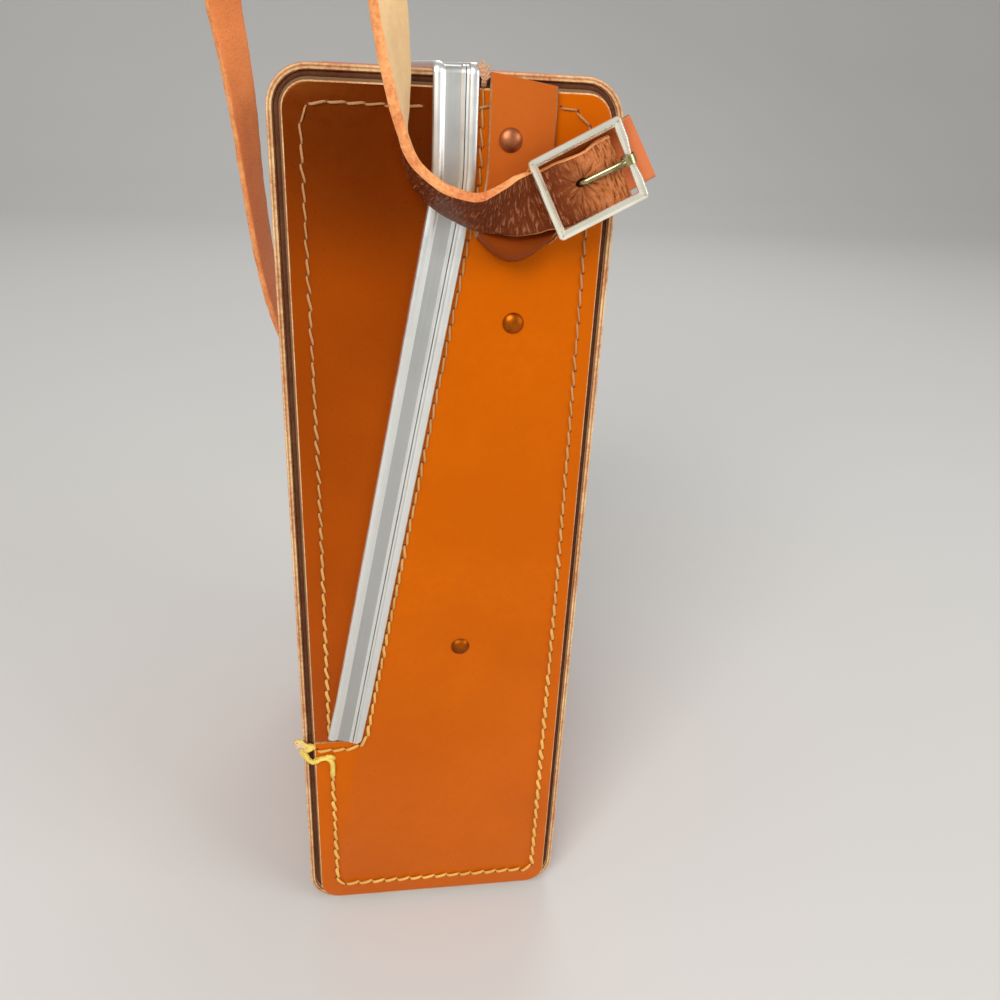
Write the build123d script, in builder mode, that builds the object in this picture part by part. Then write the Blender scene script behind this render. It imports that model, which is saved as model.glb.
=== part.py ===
"""Tall leather camera case with a drop-front lid, a metal-trimmed opening and a shoulder strap.

Millimetres, +Z up. The origin is the middle of the bottom face. The lid is on the -X side and
the end with the buckle faces -Y. The other end mirrors it, but its strap end is riveted.
"""
import os
from math import cos, pi, radians, sin, tan

from build123d import *

# Outer case
outer_width = 94.0
outer_height = 294.0
wrap_length = 150.0
outer_radius = 11.0

# Layers of the wall, from outside to inside
leather = 1.8
shell_board = 1.4
lining = 0.6
glue_line = 0.05

# Ends
panel_inset = 4.0
panel_leather = 2.1
end_board = 4.9
end_rebate = 1.9
board_recess = 0.4

# Opening: the parting line seen on the end, and the hinge line low on the front
parting_x = 3.6
bend_drop = 28.0
bend_radius = 60.0
parting_slant = 10.15
hinge_height = 80.0
hinge_band = 10.0
running_gap = 0.3

# Aluminium frame
frame_gap = 0.15
web = 1.2
frame_base = 1.0
rib_height = 0.8
lid_flange = 8.4
lid_rib = 2.3
body_flange = 3.5
body_groove = 0.9
strip_end_drop = 0.3
strip_end_radius = 2.8
frame_depth = 0.35

# Divider inside, riveted to both ends
divider_board = 2.0
divider_top_drop = 32.0
divider_flange = 12.0
divider_flange_sheet = 1.2
divider_rivet_drops = (176.0, 65.0)
divider_rivet_xs = (7.1, 19.2)
divider_offset = 6.0

# Rivets
rivet_shank = 1.2
rivet_head = 3.1
rivet_dome = 1.6
washer_radius = 3.0
washer_thickness = 0.8
peen_radius = 1.7
peen_height = 0.6
hole_clearance = 0.05

# Strap lug: riveted at the top, folded softly at the bottom, its free end behind the buckle
lug_width = 17.7
lug_leather = 2.2
lug_x = 18.6
lug_fold_gap = 5.2
lug_route_height = 294.0
lug_rivet_x = 15.6
lug_rivet_drop = 16.0
lug_hole_reach = -1.1
lug_hole_length = 3.6

# Buckle
buckle_length = 24.6
buckle_height = 20.0
buckle_bar = 2.2
buckle_thickness = 2.0
bar_radius = 0.9
bar_margin = 1.1
buckle_x = 34.6
buckle_drop = 23.9
buckle_angle = 28.0
layer_gap = 0.1
prong_width = 1.7
prong_thickness = 1.5
prong_reach = 13.35
prong_tip_angle = 27.0
prong_arm_ease = 0.4
prong_arm_drop = 0.15
prong_arc_lap = 4.0
eye_clearance = 0.1
eye_wall = 0.9
eye_width = 3.2

# Shoulder strap
strap_width = 15.4
strap_leather = 2.8
strap_end_margin = 2.6
strap_rivet_spacing = 8.0
strap_route_height = 294.0
strap_route_reach = 89.75
strap_hole_reach = -1.85
strap_hole_length = 3.5

# Latch in the middle of the top
hook_sheet = 1.2
hook_width = 10.0
hook_drop = 8.0
hook_reach = 14.5
hook_rivet_height = 5.0
hook_rivet_margin = 1.8
hook_tongue_drop = 1.0
notch_start = 8.6
notch_length = 3.2
notch_depth = 3.0
bolt_travel = 5.0
bolt_gap = 0.3
bolt_tail = 17.0
stem_start = 9.0
stem_length = 3.0
stem_ease = 0.6
box_sheet = 0.8
box_height = 9.3
box_start = 7.0
box_depth = 15.0
box_low_end = -7.0
box_high_end = 27.0
plate_sheet = 0.5
plate_width = 10.0
plate_start = 7.6
plate_low_end = -4.0
plate_high_end = 26.0
plate_corner = 2.5
plate_rivet_margin = 2.6
plate_rivet_shank = 1.0
plate_rivet_head = 1.7
plate_rivet_height = 0.5
button_width = 5.4
button_length = 8.0
button_height = 1.0
button_corner = 1.2
button_grooves = 4
button_groove_pitch = 1.6
button_groove_width = 0.6
button_groove_depth = 0.4
spring_sheet = 0.4
spring_folds = 5

# Length by which a cut runs past the solid that it opens
overshoot = 1.0

# Sizes that follow
bend_height = outer_height - bend_drop
divider_top = outer_height - divider_top_drop
divider_rivet_low = (divider_rivet_xs[0], outer_height - divider_rivet_drops[0])
divider_rivet_high = (divider_rivet_xs[1], outer_height - divider_rivet_drops[1])
lug_rivet = (lug_rivet_x, outer_height - lug_rivet_drop)
buckle_centre = (buckle_x, outer_height - buckle_drop)
wall = leather + shell_board + 2 * glue_line
lined_wall = wall + lining + glue_line
half_length = wrap_length / 2
board_outer = half_length - board_recess + end_rebate
board_step = half_length - board_recess
board_inner = board_outer - end_board
panel_face = board_outer + panel_leather
lining_end = board_inner - glue_line
lining_face = lining_end - lining
frame_seat = panel_face + glue_line
top_seat = outer_height + glue_line
board_cut = frame_gap + web + 2 * glue_line
hinge_x = -(outer_width / 2) + leather / 2
rivet_hole = rivet_shank + hole_clearance
fold_layer = panel_face + glue_line + lug_leather + lug_fold_gap
lug_face = fold_layer + lug_leather
strap_middle = lug_face + layer_gap + strap_leather / 2
strap_face = strap_middle + strap_leather / 2
buckle_middle = strap_face + layer_gap + buckle_thickness / 2
along = Vector(cos(radians(buckle_angle)), 0, sin(radians(buckle_angle)))
across = Vector(-sin(radians(buckle_angle)), 0, cos(radians(buckle_angle)))
pivot_reach = buckle_length / 2 - bar_margin
strap_end_reach = pivot_reach - strap_end_margin
ENDS = {"near": -1, "far": 1}

os.makedirs("parts", exist_ok=True)


def finish(piece, name):
    """Name a finished piece and write it."""
    piece.part.label = name
    export_step(piece.part, f"parts/{name}.step")


def sheet(side, inner, outer):
    """Plane and thickness of a sheet between two distances from the middle, on one end."""
    return Plane.XZ.offset(-max(side * inner, side * outer)), abs(outer - inner)


def section(inset):
    """The case's rounded outline seen on the end, drawn in by an inset."""
    with Locations((0, outer_height / 2)):
        RectangleRounded(outer_width - 2 * inset, outer_height - 2 * inset, outer_radius - inset)


def parting_points(shift, low, high):
    """The parting line from its lower end to its upper end, moved sideways."""
    slant = (bend_height - low) * tan(radians(parting_slant))
    x = parting_x + shift
    return [(x - slant, low), (x, bend_height), (x, high)]


def lid_side(shift, low, mode):
    """Everything on the lid's side of the parting line, above a height."""
    high = outer_height + outer_radius
    with BuildLine() as outline:
        edge = FilletPolyline(*parting_points(shift, low, high), radius=bend_radius)
        Polyline(edge @ 1, (-outer_width, high), (-outer_width, low), edge @ 0)
    make_face(outline.edges(), mode=mode)


def strip(shift_from, shift_to, low, high):
    """A band that follows the parting line."""
    with BuildLine() as outline:
        one = FilletPolyline(*parting_points(shift_from, low, high), radius=bend_radius)
        two = FilletPolyline(*parting_points(shift_to, low, high), radius=bend_radius)
        Line(one @ 0, two @ 0)
        Line(one @ 1, two @ 1)
    make_face(outline.edges())


def keep_half(half):
    """Cut the sketch to the lid's or the body's side, with room for the frame's web."""
    if half == "lid":
        lid_side(-board_cut, hinge_height + running_gap / 2, Mode.INTERSECT)
    else:
        lid_side(board_cut, hinge_height - running_gap / 2, Mode.SUBTRACT)


def ring(inset, thickness, half, length):
    """A wall of the case's section, one half of it, along the whole length."""
    with BuildSketch(Plane.XZ.offset(-length / 2)) as outline:
        section(inset)
        with Locations((0, outer_height / 2)):
            RectangleRounded(
                outer_width - 2 * (inset + thickness),
                outer_height - 2 * (inset + thickness),
                outer_radius - inset - thickness,
                mode=Mode.SUBTRACT,
            )
        keep_half(half)
    extrude(outline.sketch, amount=length)


def bore(x, z, radius, side, inner, outer):
    """A round hole through an end."""
    plane, depth = sheet(side, inner, outer)
    with BuildSketch(plane) as hole:
        with Locations((x, z)):
            Circle(radius)
    extrude(hole.sketch, amount=depth, mode=Mode.SUBTRACT)


def ribbon(stations, thickness):
    """A band of leather: each station has a centre, a direction across, a width and a way along."""
    sections = []
    for centre, side_way, width, way in stations:
        way = way - side_way * way.dot(side_way)
        with BuildSketch(Plane(origin=centre, x_dir=side_way, z_dir=way)) as cut:
            Rectangle(width, thickness)
        sections.append(cut.sketch)
    loft(sections, ruled=True)


def on_buckle(reach, y, side=-1):
    """A point on the buckle's long axis, at a distance from its centre."""
    flat = Vector(buckle_centre[0], 0, buckle_centre[1]) + along * reach
    return Vector(flat.X, side * y, flat.Z)


def rivet(x, z, side, head_seat, tail_seat):
    """A domed rivet through an end, peened inside over its washer."""
    outward = Plane(origin=(x, side * head_seat, z), x_dir=(1, 0, 0), z_dir=(0, side, 0))
    dome_sphere = (rivet_head**2 + rivet_dome**2) / (2 * rivet_dome)
    with BuildSketch(Plane(origin=outward.origin, x_dir=(1, 0, 0), z_dir=(0, 0, 1))) as dome:
        with BuildLine():
            Line((0, 0), (rivet_head, 0))
            RadiusArc((rivet_head, 0), (0, side * rivet_dome), -side * dome_sphere)
            Line((0, side * rivet_dome), (0, 0))
        make_face()
    revolve(dome.sketch, axis=Axis(outward.origin, (0, 1, 0)))
    with BuildSketch(outward) as shank:
        Circle(rivet_shank)
    extrude(shank.sketch, amount=-(head_seat - tail_seat + peen_height))
    with BuildSketch(outward.offset(-(head_seat - tail_seat))) as peen:
        Circle(peen_radius)
    extrude(peen.sketch, amount=-peen_height)


def washer(x, z, side, seat):
    """A flat ring under a peened rivet end."""
    with BuildSketch(Plane(origin=(x, side * seat, z), x_dir=(1, 0, 0), z_dir=(0, -side, 0))) as flat_ring:
        Circle(washer_radius)
        Circle(rivet_hole, mode=Mode.SUBTRACT)
    extrude(flat_ring.sketch, amount=washer_thickness)


# Where the latch passes through the top
stem_x = notch_start + notch_length / 2
stem_width = notch_length - 2 * bolt_gap - stem_ease
plate_rivet_x = plate_start + plate_width - plate_rivet_margin
plate_rivet_places = [plate_low_end + plate_rivet_margin, plate_high_end - plate_rivet_margin]
lined_top = outer_height - lined_wall
box_top = lined_top - glue_line
box_floor = box_top - box_height + box_sheet
latch_low = box_floor + bolt_gap / 2
plate_top = top_seat + plate_sheet


def latch_cuts(low, high):
    """The slot for the release stem and the holes for the catch plate's rivets."""
    slot_middle = stem_start + stem_length / 2 + bolt_travel / 2
    with BuildSketch(Plane.XY.offset(low)) as holes:
        with Locations((stem_x, slot_middle)):
            Rectangle(stem_width + 2 * bolt_gap, stem_length + bolt_travel + 2 * bolt_gap)
        with Locations(*[(plate_rivet_x, y) for y in plate_rivet_places]):
            Circle(plate_rivet_shank + hole_clearance)
    extrude(holes.sketch, amount=high - low, mode=Mode.SUBTRACT)


# Leather wrap of each half, with the run that bends at the hinge left out of both
with BuildPart() as body_wrap:
    ring(0, leather, "body", wrap_length)
    with Locations((-outer_width / 2, 0, hinge_height)):
        Box(4 * leather, wrap_length, 2 * hinge_band, mode=Mode.SUBTRACT)
    latch_cuts(outer_height - wall, outer_height + overshoot)
finish(body_wrap, "body_wrap")

with BuildPart() as lid_wrap:
    ring(0, leather, "lid", wrap_length)
    with Locations((-outer_width / 2, 0, hinge_height)):
        Box(4 * leather, wrap_length, 2 * hinge_band, mode=Mode.SUBTRACT)
finish(lid_wrap, "lid_wrap")

with BuildPart() as hinge_strip:
    with Locations((hinge_x, 0, hinge_height)):
        Box(leather, wrap_length, 2 * (hinge_band - glue_line))
finish(hinge_strip, "hinge_strip")

# Stiff board inside the leather
with BuildPart() as body_shell:
    ring(leather + glue_line, shell_board, "body", wrap_length)
    latch_cuts(lined_top, outer_height)
finish(body_shell, "body_shell")

with BuildPart() as lid_shell:
    ring(leather + glue_line, shell_board, "lid", wrap_length)
finish(lid_shell, "lid_shell")


def end_bores(half, side, inner, outer):
    """The rivet holes through an end of the body. The lid has none."""
    if half == "body":
        for x, z in [lug_rivet, divider_rivet_low, divider_rivet_high]:
            bore(x, z, rivet_hole, side, inner, outer)


# Fabric lining: the walls and both end sheets of each half
for half in ["body", "lid"]:
    with BuildPart() as half_lining:
        ring(wall, lining, half, 2 * lining_end)
        for side in ENDS.values():
            plane, thickness = sheet(side, lining_face, lining_end)
            with BuildSketch(plane):
                section(wall)
                keep_half(half)
            extrude(amount=thickness)
            end_bores(half, side, lining_face, lining_end)
        if half == "body":
            latch_cuts(lined_top - lining, outer_height)
    finish(half_lining, f"{half}_lining")

# Rebated boards and the leather panels that are sewn to them
for half in ["body", "lid"]:
    for end, side in ENDS.items():
        with BuildPart() as board:
            for inset, inner, outer in [
                (wall, board_inner, board_step),
                (panel_inset, board_step, board_outer),
            ]:
                plane, thickness = sheet(side, inner, outer)
                with BuildSketch(plane):
                    section(inset)
                    keep_half(half)
                extrude(amount=thickness)
            end_bores(half, side, board_inner, board_outer)
        finish(board, f"{half}_end_board_{end}")

        with BuildPart() as panel:
            plane, thickness = sheet(side, board_outer + glue_line, panel_face)
            with BuildSketch(plane):
                section(panel_inset)
                keep_half(half)
            extrude(amount=thickness)
            end_bores(half, side, board_outer, panel_face)
        finish(panel, f"{half}_end_panel_{end}")


def frame_half(near_edge, far_edge, rib_near, rib_far, web_from, web_to, foot, foot_radius):
    """Half of the aluminium frame: down both ends and over the top, with its web between the boards."""
    high = top_seat + frame_base
    for side in ENDS.values():
        for start, stop, height in [
            (near_edge, far_edge, frame_base),
            (rib_near, rib_far, frame_base + rib_height),
        ]:
            plane, thickness = sheet(side, frame_seat, frame_seat + height)
            with BuildSketch(plane) as leg:
                strip(start, stop, foot, high)
                if foot_radius:
                    fillet(leg.vertices().group_by(Axis.Y)[0].sort_by(Axis.X)[-1], foot_radius)
            extrude(leg.sketch, amount=thickness)
        plane, thickness = sheet(side, lining_face - frame_depth, frame_seat)
        with BuildSketch(plane) as end_web:
            strip(web_from, web_to, hinge_height + running_gap / 2, high)
        extrude(end_web.sketch, amount=thickness)
    reach = frame_seat + frame_base
    for start, stop, height, length in [
        (near_edge, far_edge, frame_base, 2 * reach),
        (rib_near, rib_far, frame_base + rib_height, 2 * (reach + rib_height)),
    ]:
        with BuildSketch(Plane.XZ.offset(-length / 2)) as bar:
            with Locations((parting_x + (start + stop) / 2, top_seat + height / 2)):
                Rectangle(abs(stop - start), height)
        extrude(bar.sketch, amount=length)
    web_low = outer_height - lined_wall - frame_depth
    with BuildSketch(Plane.XZ.offset(-reach)) as top_web:
        with Locations((parting_x + (web_from + web_to) / 2, (web_low + high) / 2)):
            Rectangle(abs(web_to - web_from), high - web_low)
    extrude(top_web.sketch, amount=2 * reach)


hook_low = latch_low
hook_leg_x = parting_x - frame_gap - web - glue_line - hook_sheet
hook_rivet_z = hook_low + hook_rivet_height
hook_rivet_places = [hook_rivet_margin - hook_width / 2, hook_width / 2 - hook_rivet_margin]
tongue_low = hook_low + hook_sheet + glue_line
tongue_high = outer_height - hook_tongue_drop

with BuildPart() as lid_frame:
    frame_half(
        -lid_flange, -frame_gap, -lid_flange, -lid_flange + lid_rib,
        -frame_gap - web, -frame_gap, hinge_height + running_gap / 2, 0,
    )
    with BuildSketch(Plane.YZ.offset(parting_x - frame_gap - web)):
        with Locations((0, (tongue_low + tongue_high) / 2)):
            Rectangle(hook_width, tongue_high - tongue_low)
        with Locations(*[(y, hook_rivet_z) for y in hook_rivet_places]):
            Circle(plate_rivet_shank + hole_clearance, mode=Mode.SUBTRACT)
    extrude(amount=web)
finish(lid_frame, "lid_frame")

with BuildPart() as body_frame:
    frame_half(
        frame_gap, body_flange, frame_gap + body_groove, body_flange,
        frame_gap, frame_gap + web, hinge_height - strip_end_drop, strip_end_radius,
    )
finish(body_frame, "body_frame")

# Divider between the camera's room and the room behind it, with a flange riveted to each end
divider_lean = (divider_rivet_high[0] - divider_rivet_low[0]) / (
    divider_rivet_high[1] - divider_rivet_low[1]
)


def divider_x(z, shift):
    """The divider's slanted line, moved sideways from the rivets."""
    return divider_rivet_low[0] + shift + (z - divider_rivet_low[1]) * divider_lean


def slanted_band(shift_from, shift_to, low, high):
    """A band between two lines parallel to the divider."""
    with BuildLine() as outline:
        Polyline(
            (divider_x(low, shift_from), low), (divider_x(high, shift_from), high),
            (divider_x(high, shift_to), high), (divider_x(low, shift_to), low), close=True,
        )
    make_face(outline.edges())


divider_reach = lining_face - running_gap
divider_low = lined_wall + running_gap
with BuildPart() as divider:
    with BuildSketch(Plane.XZ.offset(-divider_reach)):
        slanted_band(-divider_offset - divider_board, -divider_offset, divider_low, divider_top)
    extrude(amount=2 * divider_reach)
    for side in ENDS.values():
        plane, thickness = sheet(side, divider_reach - divider_flange_sheet, divider_reach)
        with BuildSketch(plane):
            slanted_band(
                -divider_offset - divider_board, divider_flange - divider_offset,
                divider_rivet_low[1] - divider_flange, divider_rivet_high[1] + divider_flange,
            )
            with Locations(divider_rivet_low, divider_rivet_high):
                Circle(rivet_hole, mode=Mode.SUBTRACT)
        extrude(amount=thickness)
finish(divider, "divider")

divider_tail = divider_reach - divider_flange_sheet - glue_line
with BuildPart() as divider_rivets:
    for side in ENDS.values():
        for x, z in [divider_rivet_low, divider_rivet_high]:
            rivet(x, z, side, panel_face + glue_line, divider_tail - washer_thickness - glue_line)
finish(divider_rivets, "divider_rivets")

with BuildPart() as divider_washers:
    for side in ENDS.values():
        for x, z in [divider_rivet_low, divider_rivet_high]:
            washer(x, z, side, divider_tail)
finish(divider_washers, "divider_washers")


# Middle line of the lug: place along the case, share of the way out to the outer layer, height, and
# how far the band has turned from upright. It goes down, rolls towards the viewer and up behind the
# buckle. It is read for a case of the route's height and moves with the case's own
lug_route = [
    (18.6, 0.0, 293.9, 0),
    (18.6, 0.0, 270.0, 0),
    (17.9, 0.0, 263.5, 0),
    (16.9, 0.0, 257.5, 0),
    (16.1, 0.0, 252.8, 0),
    (15.9, 0.13, 250.4, 0),
    (15.8, 0.46, 249.4, 0),
    (15.7, 0.79, 250.4, 0),
    (15.7, 0.92, 252.8, 0),
    (15.8, 0.80, 254.6, 6),
    (16.1, 0.67, 256.5, 16),
    (17.2, 0.61, 259.0, 30),
    (19.1, 0.68, 261.5, 45),
    (22.0, 0.83, 263.6, 59),
    (25.6, 0.96, 265.4, 62),
    (29.5, 1.0, 267.3, 62),
    (38.5, 1.0, 272.2, 62),
    (49.0, 1.0, 278.2, 62),
]


def lug_stations(side):
    """The lug from its top edge, down, round the soft fold and up behind the buckle."""
    inner = panel_face + glue_line + lug_leather / 2
    outer = fold_layer + lug_leather / 2
    rise = outer_height - lug_route_height
    places = [Vector(x, side * (inner + (outer - inner) * share), z + rise) for x, share, z, _ in lug_route]
    stations = []
    for index, (_, _, _, turn) in enumerate(lug_route):
        edge = Vector(cos(radians(turn)), 0, -sin(radians(turn)))
        way = places[min(index + 1, len(places) - 1)] - places[max(index - 1, 0)]
        way = (way - edge * way.dot(edge)).normalized()
        stations.append((places[index], edge, lug_width, way))
    return stations


prong_hole_width = prong_width + 4 * layer_gap


def buckle_slot(reach, length, side, inner, thickness):
    """The prong's hole through the strap or the lug, in line with the buckle."""
    plane = Plane(origin=on_buckle(reach, inner - overshoot, side), x_dir=along, z_dir=(0, side, 0))
    with BuildSketch(plane) as slot:
        SlotOverall(length, prong_hole_width)
    extrude(slot.sketch, amount=thickness + 2 * overshoot, mode=Mode.SUBTRACT)


strap_rivet_reaches = [-strap_rivet_spacing / 2, strap_rivet_spacing / 2]
for end, side in ENDS.items():
    with BuildPart() as lug:
        ribbon(lug_stations(side), lug_leather)
        bore(*lug_rivet, rivet_hole, side, panel_face, panel_face + lug_leather + overshoot)
        if end == "near":
            buckle_slot(lug_hole_reach, lug_hole_length, side, fold_layer, lug_leather)
        else:
            for reach in strap_rivet_reaches:
                place = on_buckle(reach, 0)
                bore(place.X, place.Z, rivet_hole, side, fold_layer - overshoot, lug_face + overshoot)
    finish(lug, f"strap_lug_{end}")

with BuildPart() as lug_rivets:
    for side in ENDS.values():
        rivet(
            *lug_rivet, side, panel_face + lug_leather + 2 * glue_line,
            lining_face - washer_thickness - 2 * glue_line,
        )
finish(lug_rivets, "lug_rivets")

with BuildPart() as lug_washers:
    for side in ENDS.values():
        washer(*lug_rivet, side, lining_face - glue_line)
finish(lug_washers, "lug_washers")

# Buckle: a flat frame whose right bar is round and carries the prong
buckle_plane = Plane(origin=on_buckle(0, buckle_middle), x_dir=along, z_dir=(0, -1, 0))
with BuildPart() as buckle_frame:
    with BuildSketch(buckle_plane.offset(-buckle_thickness / 2)):
        RectangleRounded(buckle_length, buckle_height, buckle_bar)
        RectangleRounded(
            buckle_length - 2 * buckle_bar,
            buckle_height - 2 * buckle_bar,
            buckle_bar / 2,
            mode=Mode.SUBTRACT,
        )
        with Locations((buckle_length / 2, 0)):
            Rectangle(2 * buckle_bar, buckle_height - 2 * buckle_bar, mode=Mode.SUBTRACT)
    extrude(amount=buckle_thickness)
    bar_plane = Plane(origin=on_buckle(pivot_reach, buckle_middle), x_dir=along, z_dir=across)
    with BuildSketch(bar_plane.offset(-buckle_height / 2 + buckle_bar / 2)) as round_bar:
        Circle(bar_radius)
    extrude(round_bar.sketch, amount=buckle_height - buckle_bar)
finish(buckle_frame, "buckle_frame")

# Prong: an eye round the bar, an arm over the strap and a tip that follows its own swing into the hole
with BuildPart() as buckle_prong:
    prong_plane = Plane(origin=on_buckle(pivot_reach, buckle_middle), x_dir=-along, z_dir=across)
    eye_outer = bar_radius + eye_clearance + eye_wall
    with BuildSketch(prong_plane.offset(-eye_width / 2)):
        Circle(eye_outer)
        Circle(bar_radius + eye_clearance, mode=Mode.SUBTRACT)
    extrude(amount=eye_width)
    arm_inner = prong_reach - prong_thickness / 2
    arm_outer = prong_reach + prong_thickness / 2
    with BuildSketch(prong_plane.offset(-prong_width / 2)):
        with Locations(((arm_inner + bar_radius + eye_clearance) / 2 + prong_arm_ease, -prong_arm_drop)):
            Rectangle(arm_inner - bar_radius - eye_clearance, prong_thickness)
        with BuildLine():
            outer_arc = CenterArc((0, 0), arm_outer, prong_arc_lap, -prong_tip_angle - prong_arc_lap)
            inner_arc = CenterArc((0, 0), arm_inner, prong_arc_lap, -prong_tip_angle - prong_arc_lap)
            Line(outer_arc @ 0, inner_arc @ 0)
            Line(outer_arc @ 1, inner_arc @ 1)
        make_face()
    extrude(amount=prong_width)
finish(buckle_prong, "buckle_prong")

# Shoulder strap: places of its middle line, and which way its upper edge lies there. They are read
# for a case of the route's height and reach, and move with the case's own
UP_EDGE = (across.X, 0, across.Z)
strap_route = [
    ((19.2, -90.7, 262.6), (-0.46, -0.22, 0.86)),
    ((13.8, -92.5, 261.4), (-0.41, -0.51, 0.76)),
    ((6.7, -93.3, 261.2), (-0.23, -0.74, 0.63)),
    ((0.3, -93.0, 262.9), (-0.10, -0.85, 0.51)),
    ((-5.5, -92.7, 266.2), (-0.06, -0.89, 0.45)),
    ((-10.4, -92.3, 271.6), (-0.05, -0.93, 0.34)),
    ((-13.2, -92.0, 279.8), (-0.08, -0.99, 0.11)),
    ((-14.2, -91.2, 289.3), (-0.30, -0.95, 0.04)),
    ((-15.3, -89.8, 298.5), (-0.44, -0.90, 0.0)),
    ((-16.6, -87.3, 309.5), (-0.51, -0.86, -0.05)),
    ((-19.2, -83.0, 325.0), (-0.62, -0.78, -0.08)),
    ((-23.5, -74.5, 344.0), (-0.80, -0.52, -0.10)),
    ((-30.0, -59.0, 361.5), (-0.96, -0.20, 0.05)),
    ((-38.0, -38.0, 374.5), (-0.98, 0.05, 0.15)),
    ((-47.0, -13.0, 380.5), (-0.97, 0.20, 0.10)),
    ((-55.5, 11.5, 378.0), (-0.96, 0.25, -0.05)),
    ((-63.0, 34.0, 366.5), (-0.96, 0.12, -0.18)),
    ((-69.0, 54.0, 349.5), (-0.93, -0.18, -0.18)),
    ((-73.0, 71.0, 331.5), (-0.84, -0.48, -0.12)),
    ((-74.8, 83.0, 313.5), (-0.72, -0.68, 0.0)),
    ((-73.0, 90.0, 293.5), (-0.66, -0.74, 0.0)),
    ((-71.0, 92.0, 271.5), (-0.56, -0.82, 0.0)),
    ((-69.6, 92.5, 249.0), (-0.44, -0.89, 0.0)),
    ((-67.6, 93.0, 225.0), (-0.38, -0.92, 0.05)),
    ((-64.8, 94.0, 202.0), (-0.30, -0.95, 0.06)),
    ((-60.6, 95.5, 182.0), (-0.20, -0.97, 0.05)),
    ((-53.5, 97.0, 165.5), (-0.10, -0.99, 0.0)),
    ((-43.0, 97.5, 155.5), (0.0, -1.0, 0.0)),
    ((-31.5, 98.0, 156.0), (0.0, -1.0, 0.05)),
    ((-21.5, 97.5, 165.5), (0.0, -0.98, 0.10)),
    ((-14.0, 97.0, 181.0), (-0.05, -0.95, 0.20)),
    ((-8.0, 96.5, 200.0), (-0.15, -0.88, 0.30)),
    ((-2.0, 95.5, 218.5), (-0.30, -0.74, 0.42)),
    ((5.0, 93.8, 236.0), (-0.45, -0.52, 0.60)),
    ((12.5, 91.8, 250.5), (-0.52, -0.22, 0.76)),
]
strap_stations = [(on_buckle(strap_end_reach, strap_middle), Vector(*UP_EDGE))]
strap_stations += [(on_buckle(-buckle_length / 2, strap_middle), Vector(*UP_EDGE))]
strap_rise = outer_height - strap_route_height
strap_stretch = strap_middle / strap_route_reach
for (x, y, z), edge in strap_route:
    strap_stations.append((Vector(x, y * strap_stretch, z + strap_rise), Vector(*edge).normalized()))
strap_stations += [(on_buckle(-buckle_length / 2 + 1, strap_middle, 1), Vector(*UP_EDGE))]
strap_stations += [(on_buckle(strap_end_reach, strap_middle, 1), Vector(*UP_EDGE))]

strap_run = 0
ribbon_stations = []
for index, (place, edge) in enumerate(strap_stations):
    before = strap_stations[max(index - 1, 0)][0]
    after = strap_stations[min(index + 1, len(strap_stations) - 1)][0]
    strap_run += (place - before).length
    ribbon_stations.append((place, edge, strap_width, (after - before).normalized()))

with BuildPart() as shoulder_strap:
    ribbon(ribbon_stations, strap_leather)
    buckle_slot(strap_hole_reach, strap_hole_length, -1, lug_face + layer_gap, strap_leather)
    for reach in strap_rivet_reaches:
        place = on_buckle(reach, 0)
        bore(place.X, place.Z, rivet_hole, 1, lug_face, strap_face + overshoot)
finish(shoulder_strap, "shoulder_strap")
print(f"shoulder strap: {strap_run:.0f} mm long, volume {shoulder_strap.part.volume:.0f} mm3,",
      f"section times length {strap_run * strap_width * strap_leather:.0f} mm3")

with BuildPart() as strap_end_rivets:
    for reach in strap_rivet_reaches:
        place = on_buckle(reach, 0)
        rivet(place.X, place.Z, 1, strap_face + glue_line, fold_layer - glue_line)
finish(strap_end_rivets, "strap_end_rivets")

# Latch: a notched hook on the lid's frame and a sprung bolt in a box under the body's top
with BuildPart() as latch_hook:
    with BuildSketch(Plane.XY.offset(hook_low)):
        with Locations(((hook_leg_x + hook_reach) / 2, 0)):
            Rectangle(hook_reach - hook_leg_x, hook_width)
        with Locations((notch_start + notch_length / 2, hook_width / 2)):
            Rectangle(notch_length, 2 * notch_depth, mode=Mode.SUBTRACT)
    extrude(amount=hook_sheet)
    with BuildSketch(Plane.YZ.offset(hook_leg_x)):
        with Locations((0, hook_low + hook_drop / 2)):
            Rectangle(hook_width, hook_drop)
        with Locations(*[(y, hook_rivet_z) for y in hook_rivet_places]):
            Circle(plate_rivet_shank + hole_clearance, mode=Mode.SUBTRACT)
    extrude(amount=hook_sheet)
finish(latch_hook, "latch_hook")

with BuildPart() as hook_rivets:
    grip_low = hook_leg_x - glue_line
    grip_high = parting_x - frame_gap + glue_line
    for y in hook_rivet_places:
        with BuildSketch(Plane.YZ.offset(grip_low - peen_height)):
            with Locations((y, hook_rivet_z)):
                Circle(plate_rivet_head)
        extrude(amount=peen_height)
        with BuildSketch(Plane.YZ.offset(grip_low)):
            with Locations((y, hook_rivet_z)):
                Circle(plate_rivet_shank)
        extrude(amount=grip_high - grip_low)
        with BuildSketch(Plane.YZ.offset(grip_high)):
            with Locations((y, hook_rivet_z)):
                Circle(plate_rivet_head)
        extrude(amount=peen_height)
finish(hook_rivets, "hook_rivets")

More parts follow.
